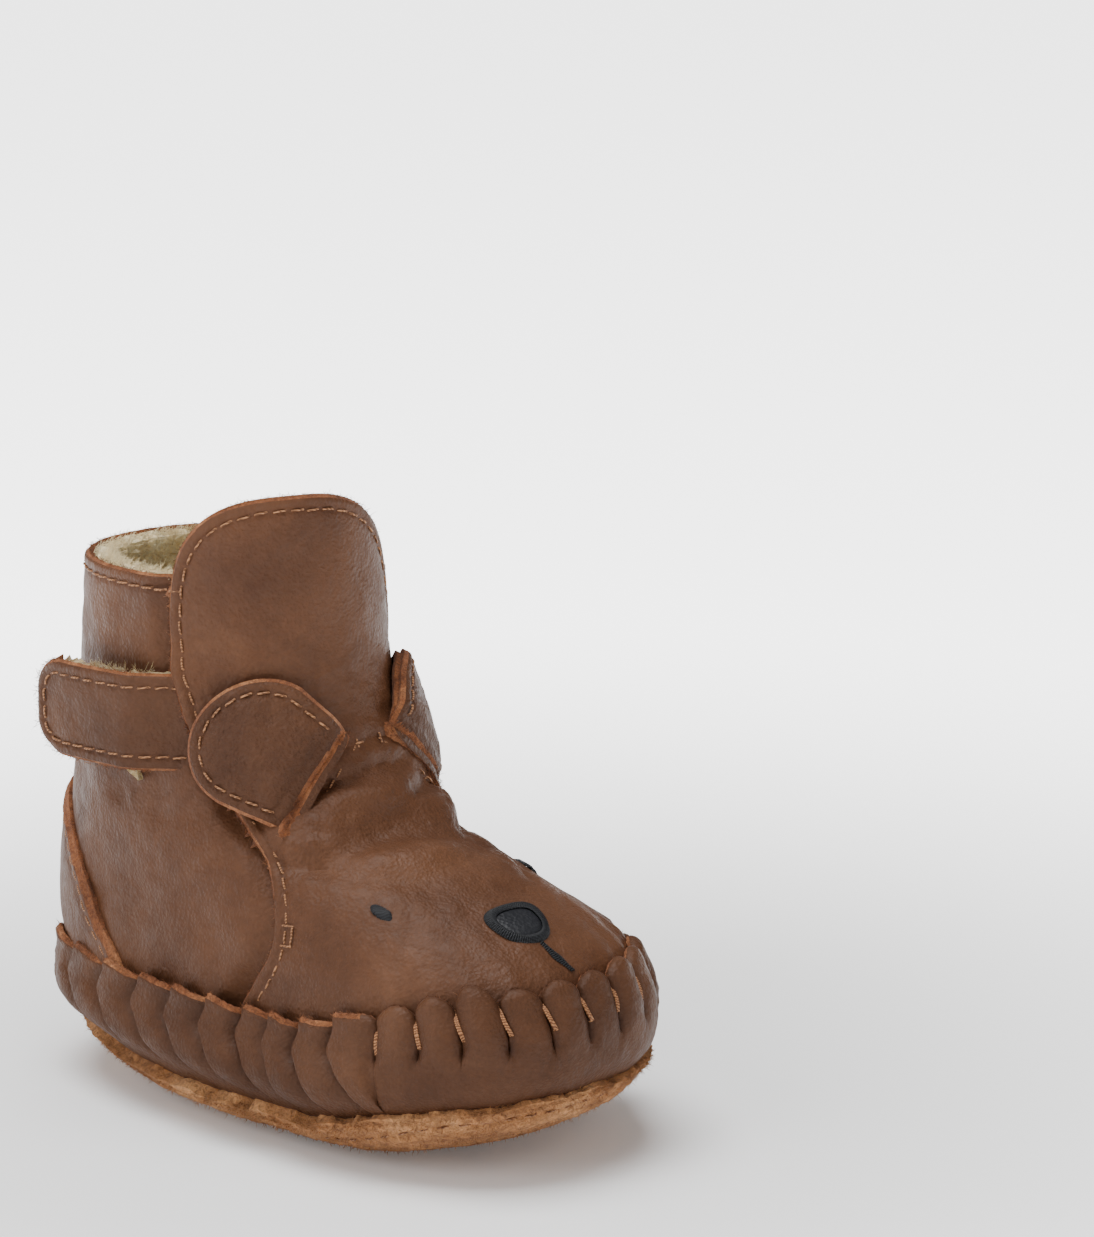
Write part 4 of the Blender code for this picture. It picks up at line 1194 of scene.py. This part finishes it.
def build_slit(side, name, frame):
    """The folded cut edge beside the flap's root, with the seam that holds it."""
    along = np.linspace(-0.5, 0.5, 60)
    phi = FACE + side * ((SLIT_A[0] + SLIT_B[0]) / 2 + along * (SLIT_B[0] - SLIT_A[0]) * 1.06)
    z = (SLIT_A[1] + SLIT_B[1]) / 2 + along * (SLIT_B[1] - SLIT_A[1]) * 1.06
    line = np.column_stack([phi, z])
    across = np.array([-1.3, -1.15, -0.7, -0.1, 0.45, 0.9, 1.2, 1.3])
    lift = np.array([0.4, 1.15, 1.4, 1.35, 1.15, 0.95, 0.6, -0.3])
    ends = np.sqrt(np.clip(1 - (2 * np.abs(along)) ** 6, 0, 1))
    rows = []
    for shift, up in zip(across, lift):
        p, h = inset_line(line[:, 0], line[:, 1], side * (shift * (0.35 + 0.65 * ends)))
        rows.append(skin(p, h, up * (0.3 + 0.7 * ends)))
    points = np.array(rows)
    points = points + 0.16 * wander(points, 0.7, 81, 2)[..., None] * frame[3]
    obj = add_sheet(name + "_slit_edge", points)
    face_way(obj, frame[3])
    dress(obj, RAW_EDGE, RAW_EDGE, RAW_EDGE)
    thicken(obj, 0.6)
    shade(obj, 70)
    place(obj, "tongue", slot="ear_suede")
    crown = skin(line[:, 0], line[:, 1], 1.25)
    edge_fuzz(name + "_slit_fuzz", crown, skin_normal(line[:, 0], line[:, 1]), 18.0,
              dict(body="tongue"), 0.5, 0.1)
    p, h = inset_line(line[:, 0], line[:, 1], side * 2.5)
    path = skin(p, h, 0.02)
    lines = stitch_lines(path, skin_normal(p, h), 2.4, 1.75)
    for end in (0, -1):
        for turn in (-1, 1):
            middle, normal = path[end], skin_normal(p[end], h[end])
            way = frame[1] * 0.8 + frame[2] * 0.8 * turn
            lines.append(np.array([middle - way - normal * 0.3, middle - way * 0.6 + normal * 0.2,
                                   middle + way * 0.6 + normal * 0.2, middle + way - normal * 0.3]))
    obj = strands(name + "_slit_stitches", lines, THREAD * 0.9, TAN_THREAD)
    place(obj, "tongue", slot="thread")


# ---- strap -------------------------------------------------------------------------------------------

STRAP_Z = (59.0, 75.5)
STRAP_Y = (13.5, 43.0)
STRAP_X = -27.9


def strap_bow(y):
    """How far the strap bows out along its length. It dips under the tongue's edge at its root."""
    return 0.8 * np.sin((y - 10) / 33 * math.pi) - 0.8 * smooth(30, 44, y) - 5.6 * (1 - smooth(9.5, 22.0, y))


def strap_shape(inset, x_out, back=3.5):
    """A strap with a rounded free end: rows over its width, columns along it from the root."""
    z0, z1, y1 = STRAP_Z[0] + inset, STRAP_Z[1] - inset, STRAP_Y[1] - inset
    half, mid, corner = (z1 - z0) / 2, (z0 + z1) / 2, 6.0
    y_start = STRAP_Y[0] - back
    across = edge_steps((z1 - z0) / 2, 0.8) / ((z1 - z0) / 2)
    w = np.concatenate([across - 1, (1 - across)[::-1][1:]])[:, None]
    into = np.clip((np.abs(w) * half - (half - corner)) / corner, 0, 1)
    cut = corner * (1 - np.clip(1 - into ** 2.4, 0, 1) ** 0.75)
    y_end = y1 - cut
    to_end = edge_steps(y1 - y_start, 0.8)[::-1] / (y1 - y_start)
    y = y_start + (y_end - y_start) * (1 - to_end)[None, :]
    z = mid + w * half * np.ones_like(y)
    x = -(x_out + strap_bow(y))
    return np.stack([x, y, z], -1)


def build_strap():
    out = -STRAP_X + LEATHER
    points = strap_shape(0.0, out)
    border = resample(np.concatenate([points[0], points[:, -1], points[-1][::-1]]), 0.25)
    away = edge_distance(points, border)
    points[..., 0] -= stitched_edge(away) + 0.25 * wander(points, 9, 61)
    obj = add_sheet("strap_leather", points)
    face_way(obj, (-1, 0, 0))
    dress(obj, STRAP_LEATHER, FLESH, RAW_EDGE)
    mark_raw(obj, away)
    thicken(obj, LEATHER)
    shade(obj, 40)
    bend = ("tongue", "strap", (STRAP_X * MM, 0.0125, 0.067), (STRAP_X * MM, 0.0185, 0.067))
    place(obj, bend=bend, stands_for=("strap",), slot="strap_leather")
    along = border[border[:, 1] > 17.0] + np.array([0.8, 0, 0])
    edge_fuzz("strap_fuzz", along, np.array([-1.0, 0, 0]), 7.0, dict(bend=bend), lift=0.3)
    upper_edge = along[(along[:, 2] > STRAP_Z[1] - 1.0) & (along[:, 1] < 30)] + np.array([1.0, 0, 0])
    edge_fuzz("strap_pile_fuzz", upper_edge, np.array([-0.3, 0, 0.9]), 14.0, dict(bend=bend), 0.9, 0.0, KHAKI)
    points = strap_shape(0.35, -STRAP_X - 0.15)
    fluff = 0.30 * wander(points, 1.6, 62, 3)
    points[..., 0] += fluff
    obj = add_sheet("strap_backing", points)
    face_way(obj, (-1, 0, 0))
    dress(obj, KHAKI)
    pad_inward(obj, 1.5)
    place(obj, bend=bend, stands_for=("strap_pile",), slot="pile")
    mid, half = sum(STRAP_Z) / 2, (STRAP_Z[1] - STRAP_Z[0]) / 2 - 2.4
    corner = 3.8
    end = STRAP_Y[1] - 2.4
    low = [(y, mid - half) for y in np.linspace(11.5, end - corner, 24)]
    arcs = [(end - corner + corner * math.cos(math.radians(a)), z + corner * math.sin(math.radians(a)))
            for first, z in ((-90, mid - half + corner), (0, mid + half - corner))
            for a in np.linspace(first, first + 90, 10)]
    high = [(y, mid + half) for y in np.linspace(end - corner, 11.5, 24)]
    line = np.array(low + arcs + high)
    y = line[:, 0]
    path = np.column_stack([-(out + strap_bow(y)) + 0.12, line])
    normals = np.tile([-1.0, 0, 0], (len(path), 1))
    sew("strap_stitches", path, normals, dict(bend=bend), ("strap_thread",), 2.9, 2.15)


def build_hook_tape():
    phi = np.linspace(131.0, 96.0, 46) * np.ones((26, 1))
    corner = np.where(phi > 101, np.clip((113 - phi) / 12, 0, 1), np.clip((phi - 98) / 3, 0, 1))
    low = 60.5 - 4.2 * corner
    z = low + (73.0 - low) * np.linspace(0, 1, 26)[:, None]
    base = skin(phi, z)
    obj = add_sheet("hook_tape_patch", skin(phi, z, 1.2 + 0.25 * wander(base, 1.2, 71, 2)))
    dress(obj, KHAKI)
    pad_inward(obj, 0.9, 60)
    place(obj, "upper", stands_for=("hook_tape",), slot="hook_tape")


# ---- face ---------------------------------------------------------------------------------------------

def skin_pad(name, phi0, z0, half_phi, half_z, height, look, rings=12, count=72):
    """A small domed oval that follows the skin."""
    angle = np.linspace(0, 2 * math.pi, count + 1)
    k = np.linspace(0.001, 1, rings)[:, None]
    a, b = nose_radius(angle)
    c = np.cos(angle)
    phi, z = phi0 + half_phi * k * a, z0 + half_z * k * b
    d = height * (1 - k ** 5) + 0.05
    points = skin(phi, z, d * np.ones_like(c))
    points[:, -1] = points[:, 0]
    obj = add_sheet(name, points)
    close_seam(obj)
    face_way(obj, skin_normal(phi0, z0))
    dress(obj, look)
    pad_inward(obj, 0.5, 70)
    return obj


def nose_radius(angle):
    """The nose's outline: an oval that is wider above than below."""
    c, s = np.cos(angle), np.sin(angle)
    r = (np.abs(c) ** 2.4 + np.abs(s) ** 2.4) ** (-1 / 2.4)
    return c * r * (1 + 0.16 * s), s * r


def build_face():
    middle = (FACE + 2.2, 40.0)
    nose = skin_pad("nose_patch", *middle, 5.9, 1.75, 0.55, NOSE_LEATHER)
    place(nose, bend=BEND, stands_for=("nose",), slot="nose_leather")
    lines = []
    for a, b in zip(*nose_radius(np.linspace(0, 2 * math.pi, 84)[:-1])):
        inner = (middle[0] + 5.3 * a, middle[1] + 1.50 * b, 0.45)
        crown = (middle[0] + 6.3 * a, middle[1] + 1.85 * b, 0.85)
        outer = (middle[0] + 7.2 * a, middle[1] + 2.15 * b, -0.1)
        lines.append(np.array([skin(*p) for p in (inner, crown, outer)]))
    rim = strands("nose_rim_stitches", lines, 0.21, DARK_THREAD)
    place(rim, bend=BEND, stands_for=("nose_thread",), slot="dark_thread")
    lines = []
    for k in np.linspace(0, 1, 18):
        wide = 0.46 + 1.25 * math.sin(math.pi * min(k * 1.15, 1.0)) ** 2 * k
        phi, z = FACE + 1.4 - 2.8 * k ** 1.3, 37.6 - 3.9 * k
        lines.append(skin(np.array([phi - wide, phi, phi + wide]), np.full(3, z), np.array([0.0, 0.42, 0.0])))
    mouth = strands("mouth_stitches", lines, 0.17, DARK_THREAD)
    place(mouth, bend=BEND, stands_for=("mouth_thread",), slot="dark_thread")
    for name, side in (("eye_right", 1), ("eye_left", -1)):
        lines = []
        for x in np.linspace(-1, 1, 11):
            half = 1.1 * math.sqrt(max(1 - (x * 0.96) ** 2, 0.02))
            phi = FACE + side * 31.5 + 2.0 * x
            z = 41.9 + np.array([-half, -half * 0.6, 0, half * 0.6, half])
            lines.append(skin(np.full(5, phi), z, np.array([-0.1, 0.45, 0.65, 0.45, -0.1])))
        eye = strands(name + "_stitches", lines, 0.2, DARK_THREAD)
        place(eye, bend=BEND, stands_for=(name,), slot="dark_thread")


def build_bar_tacks():
    for name, side in (("bar_tack_right", 1), ("bar_tack_left", -1)):
        corners = [(near_edge(z) - inset, z)
                   for inset, z in ((4.4, 38.2), (8.6, 38.4), (8.8, 35.2), (4.6, 35.0))]
        lines = []
        for (phi_a, z_a), (phi_b, z_b) in zip(corners[:-1], corners[1:]):
            share = np.linspace(0.0, 1.0, 9)
            phi = FACE + side * (phi_a + (phi_b - phi_a) * share)
            z = z_a + (z_b - z_a) * share
            rise = np.array([-0.1, 0.2, 0.3, 0.32, 0.2, 0.32, 0.3, 0.2, -0.1])
            lines.append(skin(phi, z, rise))
        obj = strands(name + "_stitches", lines, THREAD * 0.9, TAN_THREAD)
        place(obj, bend=BEND, stands_for=(name,), slot="thread")


# ---- room ------------------------------------------------------------------------------------------------

def build_room():
    bpy.ops.object.select_all(action="DESELECT")
    bpy.ops.mesh.primitive_plane_add(size=12)
    floor = bpy.context.object
    floor.name = "floor"
    made, nodes, links, shader = new_material("white_floor", (0.88, 0.88, 0.88), 0.9)
    shader.inputs["Specular IOR Level"].default_value = 0.1
    coords = nodes.new("ShaderNodeTexCoord").outputs["Object"]
    away = nodes.new("ShaderNodeVectorMath")
    away.operation = "LENGTH"
    links.new(coords, away.inputs[0])
    # The floor glows: painted light from an emission that rises from 0.08 within 0.05 m of the middle to 3.2
    # beyond 0.40 m, whitening the far floor and leaving a dimmer pool around the shoe for its shadow.
    glow = nodes.new("ShaderNodeMapRange")
    glow.interpolation_type = "SMOOTHSTEP"
    for socket, value in zip(glow.inputs[1:5], (0.05, 0.40, 0.08, 3.2)):
        socket.default_value = value
    links.new(away.outputs["Value"], glow.inputs[0])
    shader.inputs["Emission Color"].default_value = (1, 1, 1, 1)
    links.new(glow.outputs[0], shader.inputs["Emission Strength"])
    dress(floor, made)
    world = bpy.data.worlds.new("studio") if bpy.context.scene.world is None else bpy.context.scene.world
    bpy.context.scene.world = world
    world.use_nodes = True
    world.node_tree.nodes["Background"].inputs["Color"].default_value = (1, 1, 1, 1)
    world.node_tree.nodes["Background"].inputs["Strength"].default_value = 0.24


def add_light(name, place_at, target, size, power, size_y=None):
    data = bpy.data.lights.new(name, "AREA")
    data.shape = "RECTANGLE"
    data.size, data.size_y = size, size_y or size
    data.energy = power
    light = bpy.data.objects.new(name, data)
    bpy.context.scene.collection.objects.link(light)
    light.location = place_at
    light.rotation_mode = "QUATERNION"
    light.rotation_quaternion = (Vector(target) - Vector(place_at)).to_track_quat("-Z", "Y")
    return light


def build_lights():
    target = (0, 0, 0.05)
    add_light("top_softbox", (-0.15, 0.15, 1.3), target, 0.9, 26)
    add_light("left_softbox", (-1.3, 0.25, 0.8), target, 0.9, 10)
    add_light("front_fill", (-0.2, -1.5, 0.8), target, 1.2, 5)


CAMERA_TURN, CAMERA_RISE = -50.0, 12.0
CAMERA_AWAY = 0.750
CAMERA_ASIDE, CAMERA_HIGH = 0.03494, 0.08264
CAMERA_LENS = 131.1


def build_camera():
    turn, rise = math.radians(CAMERA_TURN), math.radians(CAMERA_RISE)
    back = Vector((math.sin(turn) * math.cos(rise), -math.cos(turn) * math.cos(rise), math.sin(rise)))
    right = Vector((math.cos(turn), math.sin(turn), 0))
    target = right * CAMERA_ASIDE + Vector((0, 0, CAMERA_HIGH))
    data = bpy.data.cameras.new("camera")
    data.sensor_width = 36
    data.lens = CAMERA_LENS
    camera = bpy.data.objects.new("camera", data)
    bpy.context.scene.collection.objects.link(camera)
    camera.location = target + back * CAMERA_AWAY
    camera.rotation_mode = "QUATERNION"
    camera.rotation_quaternion = (-back).to_track_quat("-Z", "Y")
    data.clip_start, data.clip_end = 0.01, 30
    bpy.context.scene.camera = camera


build_vamp_and_tongue()
build_tongue_fleece()
build_tongue_stitches()
build_quarter()
build_quarter_fleece()
build_fleece_nap()
build_band()
build_band_cords()
build_outsole()
build_inside()
build_heel_patch()
build_ear(1, "ear_right")
build_ear(-1, "ear_left")
build_strap()
build_hook_tape()
build_face()
build_bar_tacks()
build_room()
build_lights()
build_camera()
